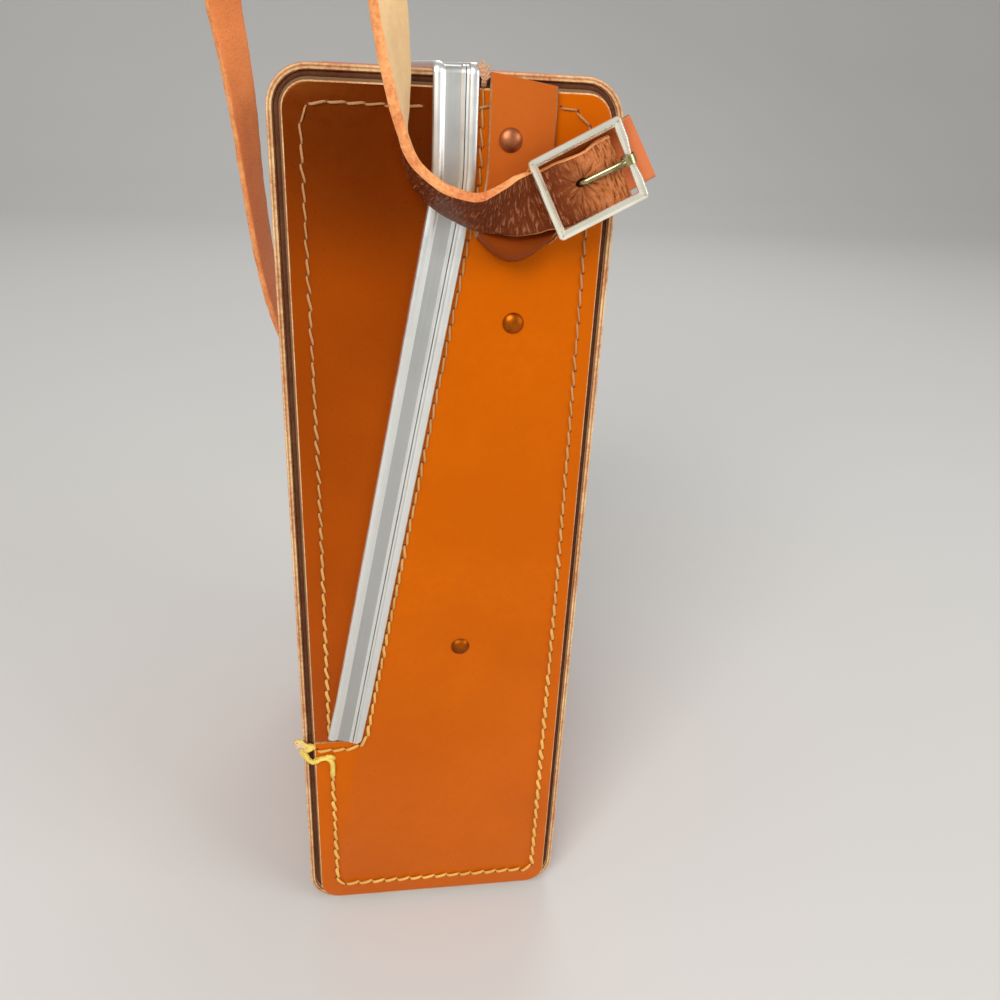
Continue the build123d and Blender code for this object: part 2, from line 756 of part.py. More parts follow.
with BuildPart() as catch_box:
    box_middle = (box_low_end + box_high_end) / 2
    box_length = box_high_end - box_low_end
    with BuildSketch(Plane.XY.offset(box_top - box_height)):
        with Locations((box_start + box_depth / 2, box_middle)):
            Rectangle(box_depth, box_length)
    extrude(amount=box_height)
    with BuildSketch(Plane.XY.offset(box_floor)):
        with Locations((box_start + (box_depth - box_sheet - overshoot) / 2, box_middle)):
            Rectangle(box_depth - box_sheet + overshoot, box_length - 2 * box_sheet)
    extrude(amount=box_height - 2 * box_sheet, mode=Mode.SUBTRACT)
    latch_cuts(box_top - box_sheet - overshoot, box_top + overshoot)
finish(catch_box, "catch_box")

with BuildPart() as catch_plate:
    with BuildSketch(Plane.XY.offset(top_seat)):
        with Locations((plate_start + plate_width / 2, (plate_low_end + plate_high_end) / 2)):
            RectangleRounded(plate_width, plate_high_end - plate_low_end, plate_corner)
    extrude(amount=plate_sheet)
    latch_cuts(top_seat - overshoot, plate_top + overshoot)
finish(catch_plate, "catch_plate")

with BuildPart() as catch_rivets:
    grip_low = box_top - box_sheet - glue_line
    for y in plate_rivet_places:
        for low, height, radius in [
            (plate_top + glue_line, plate_rivet_height, plate_rivet_head),
            (grip_low, plate_top + glue_line - grip_low, plate_rivet_shank),
            (grip_low - peen_height, peen_height, plate_rivet_head),
        ]:
            with BuildSketch(Plane.XY.offset(low)):
                with Locations((plate_rivet_x, y)):
                    Circle(radius)
            extrude(amount=height)
finish(catch_rivets, "catch_rivets")

bolt_nose = hook_width / 2 - notch_depth + bolt_gap
bolt_width = notch_length - 2 * bolt_gap
stem_top = plate_top + bolt_gap
with BuildPart() as release_bolt:
    with BuildSketch(Plane.XY.offset(latch_low)):
        with Locations((stem_x, (bolt_nose + bolt_tail) / 2)):
            Rectangle(bolt_width, bolt_tail - bolt_nose)
    extrude(amount=hook_sheet)
    with BuildSketch(Plane.XY.offset(latch_low)):
        with Locations((stem_x, stem_start + stem_length / 2)):
            Rectangle(stem_width, stem_length)
    extrude(amount=stem_top - latch_low)
finish(release_bolt, "release_bolt")

with BuildPart() as release_button:
    with BuildSketch(Plane.XY.offset(stem_top)):
        with Locations((stem_x, stem_start + stem_length / 2)):
            RectangleRounded(button_width, button_length, button_corner)
    extrude(amount=button_height)
    with BuildSketch(Plane.XY.offset(stem_top + button_height - button_groove_depth)):
        with Locations((stem_x, stem_start + stem_length / 2)):
            with GridLocations(1, button_groove_pitch, 1, button_grooves):
                Rectangle(button_width + overshoot, button_groove_width)
    extrude(amount=overshoot, mode=Mode.SUBTRACT)
finish(release_button, "release_button")

with BuildPart() as bolt_spring:
    spring_start = bolt_tail + glue_line + spring_sheet / 2
    spring_stop = box_high_end - box_sheet - glue_line - spring_sheet / 2
    with BuildSketch(Plane.XY.offset(latch_low)):
        with BuildLine():
            folds = [
                (
                    stem_x + (bolt_width / 2 if step % 2 else -bolt_width / 2),
                    spring_start + (spring_stop - spring_start) * step / spring_folds,
                )
                for step in range(spring_folds + 1)
            ]
            Polyline(*folds)
        trace(line_width=spring_sheet)
    extrude(amount=hook_sheet)
finish(bolt_spring, "bolt_spring")

print("hinge axis at x", round(hinge_x, 3), "z", hinge_height)
print("prong axis at", on_buckle(pivot_reach, buckle_middle), "along", across)
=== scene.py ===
"""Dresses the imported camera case: its leather, metal, stitching and strap, on the fixed frame.

Millimetres in the making of each piece, metres in the finished mesh. The lid is on the -X side,
the end with the buckle faces -Y and +Z is up.
"""

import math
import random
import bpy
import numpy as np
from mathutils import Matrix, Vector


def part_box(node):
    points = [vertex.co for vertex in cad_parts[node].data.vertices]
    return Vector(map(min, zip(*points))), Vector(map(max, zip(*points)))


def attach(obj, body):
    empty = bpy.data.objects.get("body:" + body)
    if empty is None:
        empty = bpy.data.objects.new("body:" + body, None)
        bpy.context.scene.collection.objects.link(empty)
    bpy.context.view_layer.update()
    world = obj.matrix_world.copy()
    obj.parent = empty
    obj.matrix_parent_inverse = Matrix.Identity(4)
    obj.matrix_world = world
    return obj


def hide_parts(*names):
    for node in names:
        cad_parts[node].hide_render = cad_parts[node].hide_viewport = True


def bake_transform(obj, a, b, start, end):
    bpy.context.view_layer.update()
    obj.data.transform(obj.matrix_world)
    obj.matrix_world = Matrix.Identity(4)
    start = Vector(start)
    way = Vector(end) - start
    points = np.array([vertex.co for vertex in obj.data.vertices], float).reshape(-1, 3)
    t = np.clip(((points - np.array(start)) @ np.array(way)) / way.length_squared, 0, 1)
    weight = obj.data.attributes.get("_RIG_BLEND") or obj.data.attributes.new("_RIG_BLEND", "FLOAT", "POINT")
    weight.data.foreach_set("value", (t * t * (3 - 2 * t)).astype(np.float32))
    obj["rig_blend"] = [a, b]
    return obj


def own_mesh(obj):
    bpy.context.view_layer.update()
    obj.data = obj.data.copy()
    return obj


bl_info = {
    "name": "Camera case",
    "version": (1, 0, 0),
    "blender": (4, 5, 0),
    "location": "3D View > Sidebar > Camera case",
    "description": "Builds a tall leather camera case with a drop-front lid and a buckled strap",
    "category": "Object",
}

import bmesh
import bpy
from mathutils import Matrix, Vector, noise

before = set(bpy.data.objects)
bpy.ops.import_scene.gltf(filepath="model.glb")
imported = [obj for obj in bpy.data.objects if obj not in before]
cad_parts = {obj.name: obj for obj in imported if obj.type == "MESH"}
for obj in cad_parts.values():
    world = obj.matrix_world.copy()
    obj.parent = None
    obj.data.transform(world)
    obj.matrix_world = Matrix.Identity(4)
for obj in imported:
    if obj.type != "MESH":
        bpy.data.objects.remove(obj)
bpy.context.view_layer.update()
MM = 0.001
ENDS = {"near": -1, "far": 1}
BODIES = {"body": "case_body", "lid": "lid"}

# Sizes of the case and its hardware in millimetres, the same as in its solids
HALF_WIDTH = 47.0
HALF_LENGTH = 75.0
TOP = 294.0
CORNER = 11.0
SHELL_INSET = 1.85
SHELL = 1.4
PANEL_INSET = 4.0
PANEL_INNER = 76.55
PANEL_FACE = 78.6
FRAME_SEAT = 78.65
TOP_SEAT = 294.05
HINGE = 80.0
HINGE_BAND = 10.0
HINGE_GAP = 0.15
PARTING_X = 3.6
BEND = 266.0
BEND_RADIUS = 60.0
SLANT = math.radians(10.15)
BOARD_CUT = 1.45
BUCKLE_TURN = math.radians(28.0)
BUCKLE_X = 34.6
BUCKLE_Z = 270.1
BUCKLE_MIDDLE = 92.25
STRAP_MIDDLE = 89.75
PIVOT_REACH = 11.2
HOLE_REACH = -1.85
SLOT_MIDDLE = (10.2, 13.0, 294.0)
SLOT_SIZE = (2.6, 8.6, 12.0)
WEB_INNER = 70.6
WEB_LOW = 289.7
RIVET_RADIUS = 3.1
SHANK_RADIUS = 1.15
PEEN_RADIUS = 1.7
ALONG = Vector((math.cos(BUCKLE_TURN), 0, math.sin(BUCKLE_TURN)))
ACROSS = Vector((-math.sin(BUCKLE_TURN), 0, math.cos(BUCKLE_TURN)))

# Measures of the dressing, in millimetres and degrees
TRIM_CORNER = 1.0
LUG_FOLD = 47.9
SHARP = 38

# Where the photograph was taken from
LENS = 32.4
SENSOR = 36.0
CAMERA_PLACE = (-0.0238, -0.330, 0.2947)
CAMERA_TURN = (64.389, -2.723, -8.160)


def linear(code):
    """An sRGB hex colour as the linear RGBA that shaders and properties take."""
    values = [int(code[i:i + 2], 16) / 255 for i in (1, 3, 5)]
    return [v / 12.92 if v <= 0.04045 else ((v + 0.055) / 1.055) ** 2.4 for v in values] + [1.0]


SWATCH = {"size": 4, "subtype": "COLOR", "min": 0, "max": 1}


class CameraCaseSizes(bpy.types.PropertyGroup):
    """Sizes of the dressing that a user may want to change."""

    stitch_pitch: bpy.props.FloatProperty(
        name="Stitch pitch", description="Distance from one stitch hole to the next", default=0.0048,
        unit="LENGTH", precision=4)
    thread: bpy.props.FloatProperty(
        name="Thread", description="Thickness of the sewing thread", default=0.00095,
        unit="LENGTH", precision=5)
    strap_width: bpy.props.FloatProperty(
        name="Strap width", description="Width of the shoulder strap", default=0.0154,
        unit="LENGTH", precision=4)
    strap_leather: bpy.props.FloatProperty(
        name="Strap leather", description="Thickness of the shoulder strap", default=0.0028,
        unit="LENGTH", precision=4)
    lug_width: bpy.props.FloatProperty(
        name="Lug width", description="Width of the folded strap lug", default=0.0177,
        unit="LENGTH", precision=4)
    lug_leather: bpy.props.FloatProperty(
        name="Lug leather", description="Thickness of the folded strap lug", default=0.0022,
        unit="LENGTH", precision=4)
    edge_wear: bpy.props.FloatProperty(
        name="Edge wear", description="How far the raw leather edges stray from a straight cut",
        default=0.0003, unit="LENGTH", precision=5)


class CameraCaseColours(bpy.types.PropertyGroup):
    """Colours of the finishes."""

    panel: bpy.props.FloatVectorProperty(
        name="Panel leather", description="Glazed end panels", default=linear("#C25A00"), **SWATCH)
    wrap: bpy.props.FloatVectorProperty(
        name="Wrap leather", description="Leather round the sides", default=linear("#B9581A"), **SWATCH)
    lug: bpy.props.FloatVectorProperty(
        name="Lug leather", description="Folded strap lugs", default=linear("#B95C20"), **SWATCH)
    strap: bpy.props.FloatVectorProperty(
        name="Strap leather", description="Grain side of the shoulder strap",
        default=linear("#FB9C5C"), **SWATCH)
    flesh: bpy.props.FloatVectorProperty(
        name="Flesh side", description="Undyed back of the leather", default=linear("#FBD496"), **SWATCH)
    cut_edge: bpy.props.FloatVectorProperty(
        name="Cut edge", description="Undyed raw edge of the leather", default=linear("#E6C08C"), **SWATCH)
    # The lid's panel colour is painted darker than the body's, as the shade on the lid
    shaded_lid_panel: bpy.props.FloatVectorProperty(
        name="Lid panel leather", description="Glazed end panels of the lid, browned by handling",
        default=linear("#A04302"), **SWATCH)
    thread: bpy.props.FloatVectorProperty(
        name="Thread", description="Sewing thread", default=linear("#F4BE5E"), **SWATCH)
    fresh_thread: bpy.props.FloatVectorProperty(
        name="Knot thread", description="Unfaded thread of the knots", default=linear("#FFE66A"), **SWATCH)
    aluminium: bpy.props.FloatVectorProperty(
        name="Aluminium", description="Trim round the opening", default=linear("#EBECE8"), **SWATCH)
    nickel: bpy.props.FloatVectorProperty(
        name="Nickel", description="Buckle, prong and latch", default=linear("#FBF7E6"), **SWATCH)
    copper: bpy.props.FloatVectorProperty(
        name="Copper", description="Rivets", default=linear("#B57048"), **SWATCH)
    lining: bpy.props.FloatVectorProperty(
        name="Lining", description="Cloth inside the case", default=linear("#6E4A34"), **SWATCH)
    floor: bpy.props.FloatVectorProperty(
        name="Floor", description="Plain floor and backdrop", default=linear("#CDCCC9"), **SWATCH)


def set_inputs(tree, node, inputs):
    """Set or link a node's inputs by name or number."""
    for name, value in inputs.items():
        if isinstance(value, bpy.types.NodeSocket):
            tree.links.new(value, node.inputs[name])
        else:
            node.inputs[name].default_value = value


def add_node(tree, kind, settings=None, inputs=None):
    """Add one shader node, set its settings, and set or link its inputs."""
    made = tree.nodes.new(kind)
    for name, value in (settings or {}).items():
        setattr(made, name, value)
    set_inputs(tree, made, inputs or {})
    return made


def start_material(name):
    """The tree and the shader of a new material."""
    material = bpy.data.materials.new(name)
    material.use_nodes = True
    return material.node_tree, material.node_tree.nodes["Principled BSDF"]


def per(millimetres):
    """A texture scale that repeats once in a real distance."""
    return 1 / (millimetres * MM)


def place_of(tree):
    """The place on the object, in metres."""
    return add_node(tree, "ShaderNodeTexCoord").outputs["Object"]


def part_of(tree, vector, axis):
    """One coordinate of a place."""
    return add_node(tree, "ShaderNodeSeparateXYZ", None, {0: vector}).outputs[axis]


def run_of(tree):
    """The distance along a swept piece and round it, in metres."""
    return add_node(tree, "ShaderNodeUVMap", {"uv_map": "run"}).outputs["UV"]


def stretch(tree, vector, along, across, turn=0.0):
    """Coordinates scaled differently along and across."""
    inputs = {"Vector": vector, "Rotation": (0, 0, turn), "Scale": (along, across, 1)}
    return add_node(tree, "ShaderNodeMapping", None, inputs).outputs[0]


def noise_in(tree, place, scale, detail=2.0, roughness=0.5, distortion=0.0):
    """Noise as a factor."""
    inputs = {"Vector": place, "Scale": scale, "Detail": detail, "Roughness": roughness,
              "Distortion": distortion}
    return add_node(tree, "ShaderNodeTexNoise", None, inputs).outputs["Fac"]


def remap(tree, value, low, high, to_low=0.0, to_high=1.0, smooth=False):
    """A value moved from one range to another, and held at its ends."""
    settings = {"interpolation_type": "SMOOTHSTEP"} if smooth else None
    inputs = {"Value": value, "From Min": low, "From Max": high, "To Min": to_low, "To Max": to_high}
    return add_node(tree, "ShaderNodeMapRange", settings, inputs).outputs[0]


def calculate(tree, operation, *values):
    """The result of one operation on sockets and numbers."""
    return add_node(tree, "ShaderNodeMath", {"operation": operation}, dict(enumerate(values))).outputs[0]


def calculate_vector(tree, operation, result, *values):
    """The result of one operation on vectors."""
    made = add_node(tree, "ShaderNodeVectorMath", {"operation": operation}, dict(enumerate(values)))
    return made.outputs[result]


def bump(tree, height, strength, depth, normal=None):
    """The normal of a relief whose depth is in millimetres."""
    inputs = {"Strength": strength, "Distance": depth * MM, "Height": height}
    if normal is not None:
        inputs["Normal"] = normal
    return add_node(tree, "ShaderNodeBump", None, inputs).outputs[0]


def blend_colours(tree, factor, first, second):
    """A colour between two others, by a factor socket."""
    mixed = add_node(tree, "ShaderNodeMix", {"data_type": "RGBA"}, {0: factor, 6: first, 7: second})
    return mixed.outputs[2]


def darker(colour, share):
    """A colour with each linear channel reduced to a share, the red least."""
    return [colour[0] * share ** 0.75, colour[1] * share, colour[2] * share ** 1.15, 1.0]


def evenly_darker(colour, share):
    """A colour with its linear channels all reduced to the same share."""
    return [c * share for c in colour[:3]] + [1.0]


def grain_leather(name, colour, gloss, crease, mottle, painted_shade=0.0, lit_end=None):
    """Vegetable-tanned cowhide with a glazed grain: pores under a millimetre and slow darker clouds."""
    tree, shader = start_material(name)
    place = place_of(tree)
    clouds = remap(tree, noise_in(tree, place, per(34), 4.0, 0.55), 0.36, 0.66)
    flecks = noise_in(tree, place, per(2.6), 5.0, 0.7)
    tinted = blend_colours(tree, clouds, darker(colour, 1 - mottle), list(colour))
    tinted = blend_colours(tree, remap(tree, flecks, 0.3, 0.75, 0.0, 0.6), tinted, darker(colour, 0.8))
    if painted_shade:
        # Painted shade: the upper part of the lid is darkened in soft patches some 9 cm across
        patches = noise_in(tree, place, per(90), 1.5)
        height = remap(tree, part_of(tree, place, "Z"), 150 * MM, 290 * MM, -0.3, 0.35)
        spread = remap(tree, calculate(tree, "ADD", patches, height), 0.3, 0.85, 0.0, painted_shade, smooth=True)
        tinted = blend_colours(tree, spread, tinted, darker(colour, 0.16))
    if lit_end:
        # Painted light: the lug's free end sits in the light, and is painted paler than its fold
        towards_end = remap(tree, part_of(tree, place, "X"), 38 * MM, 47 * MM, smooth=True)
        tinted = blend_colours(tree, towards_end, tinted, list(lit_end))
    # Pores of real hide are about 0.3 mm apart, drawn at 0.8 mm so that they show at this size
    pores = add_node(tree, "ShaderNodeTexVoronoi", None, {"Vector": place, "Scale": per(0.8)})
    creases = noise_in(tree, place, per(1.7), 6.0, 0.62, 0.4)
    relief = calculate(tree, "MULTIPLY_ADD", pores.outputs["Distance"], 0.35, creases)
    fine = bump(tree, relief, 0.5, crease)
    set_inputs(tree, shader, {
        "Base Color": tinted,
        "Normal": bump(tree, noise_in(tree, place, per(46), 1.0), 0.6, 1.2, fine),
        "Roughness": remap(tree, flecks, 0.3, 0.7, gloss - 0.06, gloss + 0.1),
        # A dyed glaze tints what the leather reflects
        "Specular Tint": linear("#FFA64A"),
    })


def creased_leather(name, colour):
    """Supple strap leather: fine creases across its length, with painted shade in their valleys and painted
    highlights on the ridges between.
    """
    tree, shader = start_material(name)
    run, place = run_of(tree), place_of(tree)
    creases = noise_in(tree, stretch(tree, run, per(0.62), per(2.8)), 1.0, 5.0, 0.6, 0.5)
    # Round the hole the creases run outwards from it
    offset = calculate_vector(tree, "SUBTRACT", 0, place, on_buckle(HOLE_REACH, -STRAP_MIDDLE) * MM)
    back = calculate_vector(tree, "DOT_PRODUCT", "Value", offset, -ALONG)
    rise = calculate_vector(tree, "DOT_PRODUCT", "Value", offset, ACROSS)
    apart = calculate_vector(tree, "LENGTH", "Value", offset)
    rays = add_node(tree, "ShaderNodeCombineXYZ", None, {0: calculate(tree, "ARCTAN2", rise, back), 1: apart})
    fan = noise_in(tree, stretch(tree, rays.outputs[0], 4.5, per(4)), 1.0, 4.0, 0.6, 0.4)
    nearby = remap(tree, apart, 3 * MM, 9 * MM, 1.0, 0.0, smooth=True)
    folds = remap(tree, nearby, 0.0, 1.0, creases, fan)
    worn = remap(tree, noise_in(tree, place, per(22), 3.0), 0.38, 0.66)
    tone = blend_colours(tree, worn, darker(colour, 0.86), list(colour))
    # The first 11 cm from the buckle, where the strap bends, are painted darkest, as shade
    way = part_of(tree, run, "X")
    before = remap(tree, way, 3 * MM, 18 * MM, 0.5, 1.0, smooth=True)
    after = remap(tree, way, 70 * MM, 150 * MM, 1.0, 0.0, smooth=True)
    tone = blend_colours(tree, calculate(tree, "MULTIPLY", before, after), tone, darker(colour, 0.075))
    # The crease ridges are painted lighter, as highlights
    rubbed = blend_colours(tree, remap(tree, folds, 0.52, 0.66, 0.0, 0.38), tone, linear("#E39A70"))
    # Away from the buckle the hide has hardly creased
    share = remap(tree, after, 0.0, 1.0, 0.15, 1.0)
    # The crease valleys are painted dark, as shade
    depth = calculate(tree, "MULTIPLY", remap(tree, folds, 0.38, 0.5, 0.85, 0.0), share)
    raised = calculate(tree, "MULTIPLY", folds, share)
    relief = calculate(tree, "MULTIPLY_ADD", noise_in(tree, place, per(0.7), 3.0), 0.15, raised)
    set_inputs(tree, shader, {
        "Base Color": blend_colours(tree, depth, rubbed, darker(colour, 0.07)),
        "Normal": bump(tree, relief, 1.0, 1.3),
        "Roughness": 0.22,
        "Specular IOR Level": 0.34,
        "Specular Tint": linear("#FFB070"),
    })


def cut_leather(name, colour, burnt):
    """Raw cut edge of hide: pale packed fibres with darker burnished flecks."""
    tree, shader = start_material(name)
    place = place_of(tree)
    fibres = noise_in(tree, place, per(1.1), 6.0, 0.75)
    mixed = calculate(tree, "MULTIPLY_ADD", noise_in(tree, place, per(9), 3.0), 0.7, fibres)
    set_inputs(tree, shader, {
        "Base Color": blend_colours(tree, remap(tree, mixed, 0.55, 1.0), list(burnt), list(colour)),
        "Normal": bump(tree, fibres, 0.8, 0.25),
        "Roughness": 0.82,
        "Specular IOR Level": 0.3,
    })


def flesh_leather(name, colour):
    """Flesh side of the hide: buffed, napped and almost undyed."""
    tree, shader = start_material(name)
    place = place_of(tree)
    nap = noise_in(tree, place, per(1.6), 7.0, 0.7)
    stains = remap(tree, noise_in(tree, place, per(16), 3.0), 0.35, 0.7)
    tone = blend_colours(tree, stains, list(colour), darker(colour, 0.72))
    napped = remap(tree, nap, 0.3, 0.7, 0.0, 0.5)
    set_inputs(tree, shader, {
        "Base Color": blend_colours(tree, napped, tone, darker(colour, 0.62)),
        "Normal": bump(tree, nap, 0.7, 0.2),
        "Roughness": 0.9,
        "Sheen Weight": 0.25,
        "Specular IOR Level": 0.2,
    })


def waxed_thread(name, colour):
    """Waxed linen thread of two twisted plies: a soft shine and a spiral groove."""
    tree, shader = start_material(name)
    turned = stretch(tree, run_of(tree), per(5.0), per(5.0), math.radians(38))
    waves = {"Vector": turned, "Scale": 2.2, "Distortion": 0.6}
    plies = add_node(tree, "ShaderNodeTexWave", {"bands_direction": "X"}, waves).outputs["Fac"]
    place = place_of(tree)
    soiled = remap(tree, noise_in(tree, place, per(14), 3.0), 0.4, 0.75, 0.0, 0.5)
    # Towards the top of the case the thread is painted browner, as the shade that falls there
    top_shade = remap(tree, part_of(tree, place, "Z"), 60 * MM, 230 * MM, 0.0, 0.9)
    thread_with_top_shade = blend_colours(tree, top_shade, list(colour), linear("#B98058"))
    tone = blend_colours(tree, soiled, thread_with_top_shade, darker(colour, 0.4))
    shade = remap(tree, plies, 0.0, 1.0, 0.45, 0.0)
    set_inputs(tree, shader, {
        "Base Color": blend_colours(tree, shade, tone, darker(colour, 0.45)),
        "Normal": bump(tree, plies, 0.8, 0.15),
        "Roughness": 0.55,
    })


def dark_hole(name, colour):
    """Inside of a punched hole, in shadow."""
    tree, shader = start_material(name)
    shade = noise_in(tree, place_of(tree), per(0.8))
    set_inputs(tree, shader, {
        "Base Color": blend_colours(tree, shade, darker(colour, 0.1), darker(colour, 0.25)),
        "Roughness": 0.9,
    })


def satin_aluminium(name, colour, matt):
    """Anodised aluminium section: satin, with fine drawing lines along its length and a few rubbed marks."""
    tree, shader = start_material(name)
    # Drawing lines are finer than 0.1 mm, drawn at 0.35 mm so that they show
    lines = noise_in(tree, stretch(tree, run_of(tree), per(60), per(0.35)), 1.0, 3.0)
    marks = noise_in(tree, place_of(tree), per(11), 6.0, 0.7)
    tone = remap(tree, lines, 0.3, 0.7, 0.0, 0.5)
    set_inputs(tree, shader, {
        "Base Color": blend_colours(tree, tone, list(colour), evenly_darker(colour, 0.82)),
        "Normal": bump(tree, lines, 0.25, 0.03),
        "Roughness": remap(tree, marks, 0.35, 0.7, 0.3 + matt, 0.46 + matt),
        "Metallic": 1.0,
    })


def worn_metal(name, colour, under, roughness, spread, patch=3.4, metal=1.0):
    """Plated or tarnished small hardware: bright, with random patches that are duller and warmer."""
    tree, shader = start_material(name)
    place = place_of(tree)
    patches = noise_in(tree, place, per(patch), 2.0, 0.45)
    worn = remap(tree, patches, 0.45, 0.72, 0.0, spread)
    set_inputs(tree, shader, {
        "Base Color": blend_colours(tree, worn, list(colour), list(under)),
        "Normal": bump(tree, noise_in(tree, place, per(0.5), 3.0), 0.03, 0.02),
        "Roughness": remap(tree, patches, 0.3, 0.7, roughness - 0.04, roughness + 0.08),
        "Metallic": metal,
    })


def brushed_cloth(name, colour):
    """Brushed cotton lining: short nap with a faint weave under it."""
    tree, shader = start_material(name)
    place = place_of(tree)
    nap = noise_in(tree, place, per(1.2), 6.0, 0.7)
    # Threads of such cloth are about 0.4 mm apart, drawn at 1 mm so that they show
    weave = add_node(tree, "ShaderNodeTexChecker", None, {"Vector": place, "Scale": per(1.0)})
    relief = calculate(tree, "MULTIPLY_ADD", weave.outputs["Fac"], 0.2, nap)
    tone = remap(tree, nap, 0.3, 0.7)
    set_inputs(tree, shader, {
        "Base Color": blend_colours(tree, tone, darker(colour, 0.7), list(colour)),
        "Normal": bump(tree, relief, 0.5, 0.2),
        "Roughness": 0.95,
        "Sheen Weight": 0.4,
    })


def pressed_board(name, colour):
    """Pressed fibre board: matt brown with short flecks."""
    tree, shader = start_material(name)
    flecks = noise_in(tree, place_of(tree), per(2), 6.0, 0.75)
    set_inputs(tree, shader, {
        "Base Color": blend_colours(tree, flecks, darker(colour, 0.6), list(colour)),
        "Roughness": 0.9,
    })


def plain_floor(name, colour):
    """Matt painted floor and backdrop with a very slight unevenness."""
    tree, shader = start_material(name)
    drift = noise_in(tree, place_of(tree), per(400))
    set_inputs(tree, shader, {
        "Base Color": blend_colours(tree, drift, darker(colour, 0.97), list(colour)),
        "Roughness": 0.85,
        "Specular IOR Level": 0.2,
    })


def finishes():
    """Make the case's materials, once."""
    if "glazed_leather" in bpy.data.materials:
        return
    colours = bpy.context.scene.camera_case_colours
    grain_leather("glazed_leather", colours.panel, 0.32, 0.05, 0.14)
    # The lid's panels carry painted shade: a darker colour, and darker patches towards the top
    grain_leather("lid_shade_leather", colours.shaded_lid_panel, 0.3, 0.05, 0.2, 0.95)
    grain_leather("wrap_leather", colours.wrap, 0.42, 0.09, 0.3)
    grain_leather("lug_hide", colours.lug, 0.46, 0.08, 0.15)
    creased_leather("strap_hide", colours.strap)
    cut_leather("cut_leather", colours.cut_edge, darker(colours.wrap, 0.8))
    cut_leather("burnished_edge_and_seam_shade", darker(colours.cut_edge, 0.5), darker(colours.wrap, 0.45))
    # The shell boards' edges, set back behind the wraps, are painted almost black, as shade
    cut_leather("shaded_board_edge", darker(colours.cut_edge, 0.09), darker(colours.wrap, 0.08))
    cut_leather("strap_edge", linear("#E8A468"), linear("#BD5A28"))
    flesh_leather("flesh_leather", colours.flesh)
    # The back of the lug leather, seen on the outer layer of its fold, is painted far darker, as the shade under
    # the strap
    grain_leather("lug_back_shaded", darker(colours.lug, 0.34), 0.17, 0.16, 0.45, lit_end=linear("#CC744A"))
    waxed_thread("waxed_thread", colours.thread)
    waxed_thread("knot_thread", colours.fresh_thread)
    waxed_thread("frayed_thread", linear("#F7D9BC"))
    dark_hole("hole_shade", colours.wrap)
    satin_aluminium("satin_aluminium", colours.aluminium, 0.0)
    # The recessed flat of the lid's trim is painted darker, as shade, and has a matter finish
    satin_aluminium("shaded_matt_aluminium", evenly_darker(colours.aluminium, 0.62), 0.1)
    worn_metal("worn_nickel", colours.nickel, linear("#B5AA7C"), 0.17, 0.3, 12.0, 0.82)
    worn_metal("tarnished_nickel", linear("#A59C74"), linear("#5F5A38"), 0.26, 0.8)
    worn_metal("dull_copper", colours.copper, linear("#6E4634"), 0.4, 0.7)
    worn_metal("browned_copper", linear("#A8550F"), linear("#5A2A0C"), 0.4, 0.7)
    worn_metal("plain_steel", linear("#A6A8AA"), linear("#77767A"), 0.35, 0.5)
    brushed_cloth("brushed_cloth", colours.lining)
    pressed_board("pressed_board", linear("#8C6A48"))
    plain_floor("plain_floor", colours.floor)


def place_at(origin, across, out, along, wide=1.0, thick=1.0):
    """The matrix that carries a profile's across and out axes to a place."""
    columns = Matrix((Vector(across) * wide, Vector(out) * thick, Vector(along))).transposed()
    return Matrix.Translation(Vector(origin)) @ columns.to_4x4()


def clamp(value):
    """A value held between 0 and 1."""
    return min(max(value, 0.0), 1.0)


def heading(degrees):
    """A unit vector in the plane of the ends."""
    return Vector((math.cos(math.radians(degrees)), 0, math.sin(math.radians(degrees))))


def neighbours(run, index):
    """The items before and after one of a run, or the item itself at an end."""
    return run[max(index - 1, 0)], run[min(index + 1, len(run) - 1)]


def only(kind, made):
    """The elements of one kind in a bmesh operator's result."""
    return [g for g in made if isinstance(g, kind)]


def sweep(shape, profile, stations, slots, closed=False):
    """Carry a closed profile through stations. Each side of the profile keeps its own material slot."""
    side = shape.verts.layers.int.get("side") or shape.verts.layers.int.new("side")
    way = shape.verts.layers.float.get("way") or shape.verts.layers.float.new("way")
    count = len(profile)
    reach = [0.0]
    for index in range(count):
        reach.append(reach[-1] + (Vector(profile[(index + 1) % count]) - Vector(profile[index])).length)
    first = [shape.verts.new(stations[0] @ Vector((u, v, 0))) for u, v in profile]
    for index, vert in enumerate(first):
        vert[side] = index
        vert[way] = 0.0
    start = [shape.edges.new((first[i], first[(i + 1) % count])) for i in range(count)]
    ring, before, travelled, walls = start, stations[0], 0.0, []
    for station in stations[1:]:
        made = bmesh.ops.extrude_edge_only(shape, edges=ring)["geom"]
        verts = only(bmesh.types.BMVert, made)
        fresh = set(verts)
        bmesh.ops.transform(shape, matrix=station @ before.inverted(), verts=verts)
        travelled += (station.translation - before.translation).length
        for vert in verts:
            vert[way] = travelled
        ring = [edge for edge in only(bmesh.types.BMEdge, made) if fresh.issuperset(edge.verts)]
        walls += only(bmesh.types.BMFace, made)
        before = station
    if closed:
        walls += bmesh.ops.bridge_loops(shape, edges=start + ring)["faces"]
    uv = shape.loops.layers.uv.get("run") or shape.loops.layers.uv.new("run")
    for face in walls:
        sides = sorted({loop.vert[side] for loop in face.loops})
        wraps = sides[0] == 0 and sides[-1] == count - 1 and count > 2
        face.material_index = slots[count - 1 if wraps else sides[0]]
        for loop in face.loops:
            index = loop.vert[side]
            if wraps and index == 0:
                index = count
            loop[uv].uv = (loop.vert[way] * MM, reach[index] * MM)
    if not closed:
        for edges in (start, ring):
            for face in bmesh.ops.edgeloop_fill(shape, edges=edges)["faces"]:
                face.material_index = slots[0]


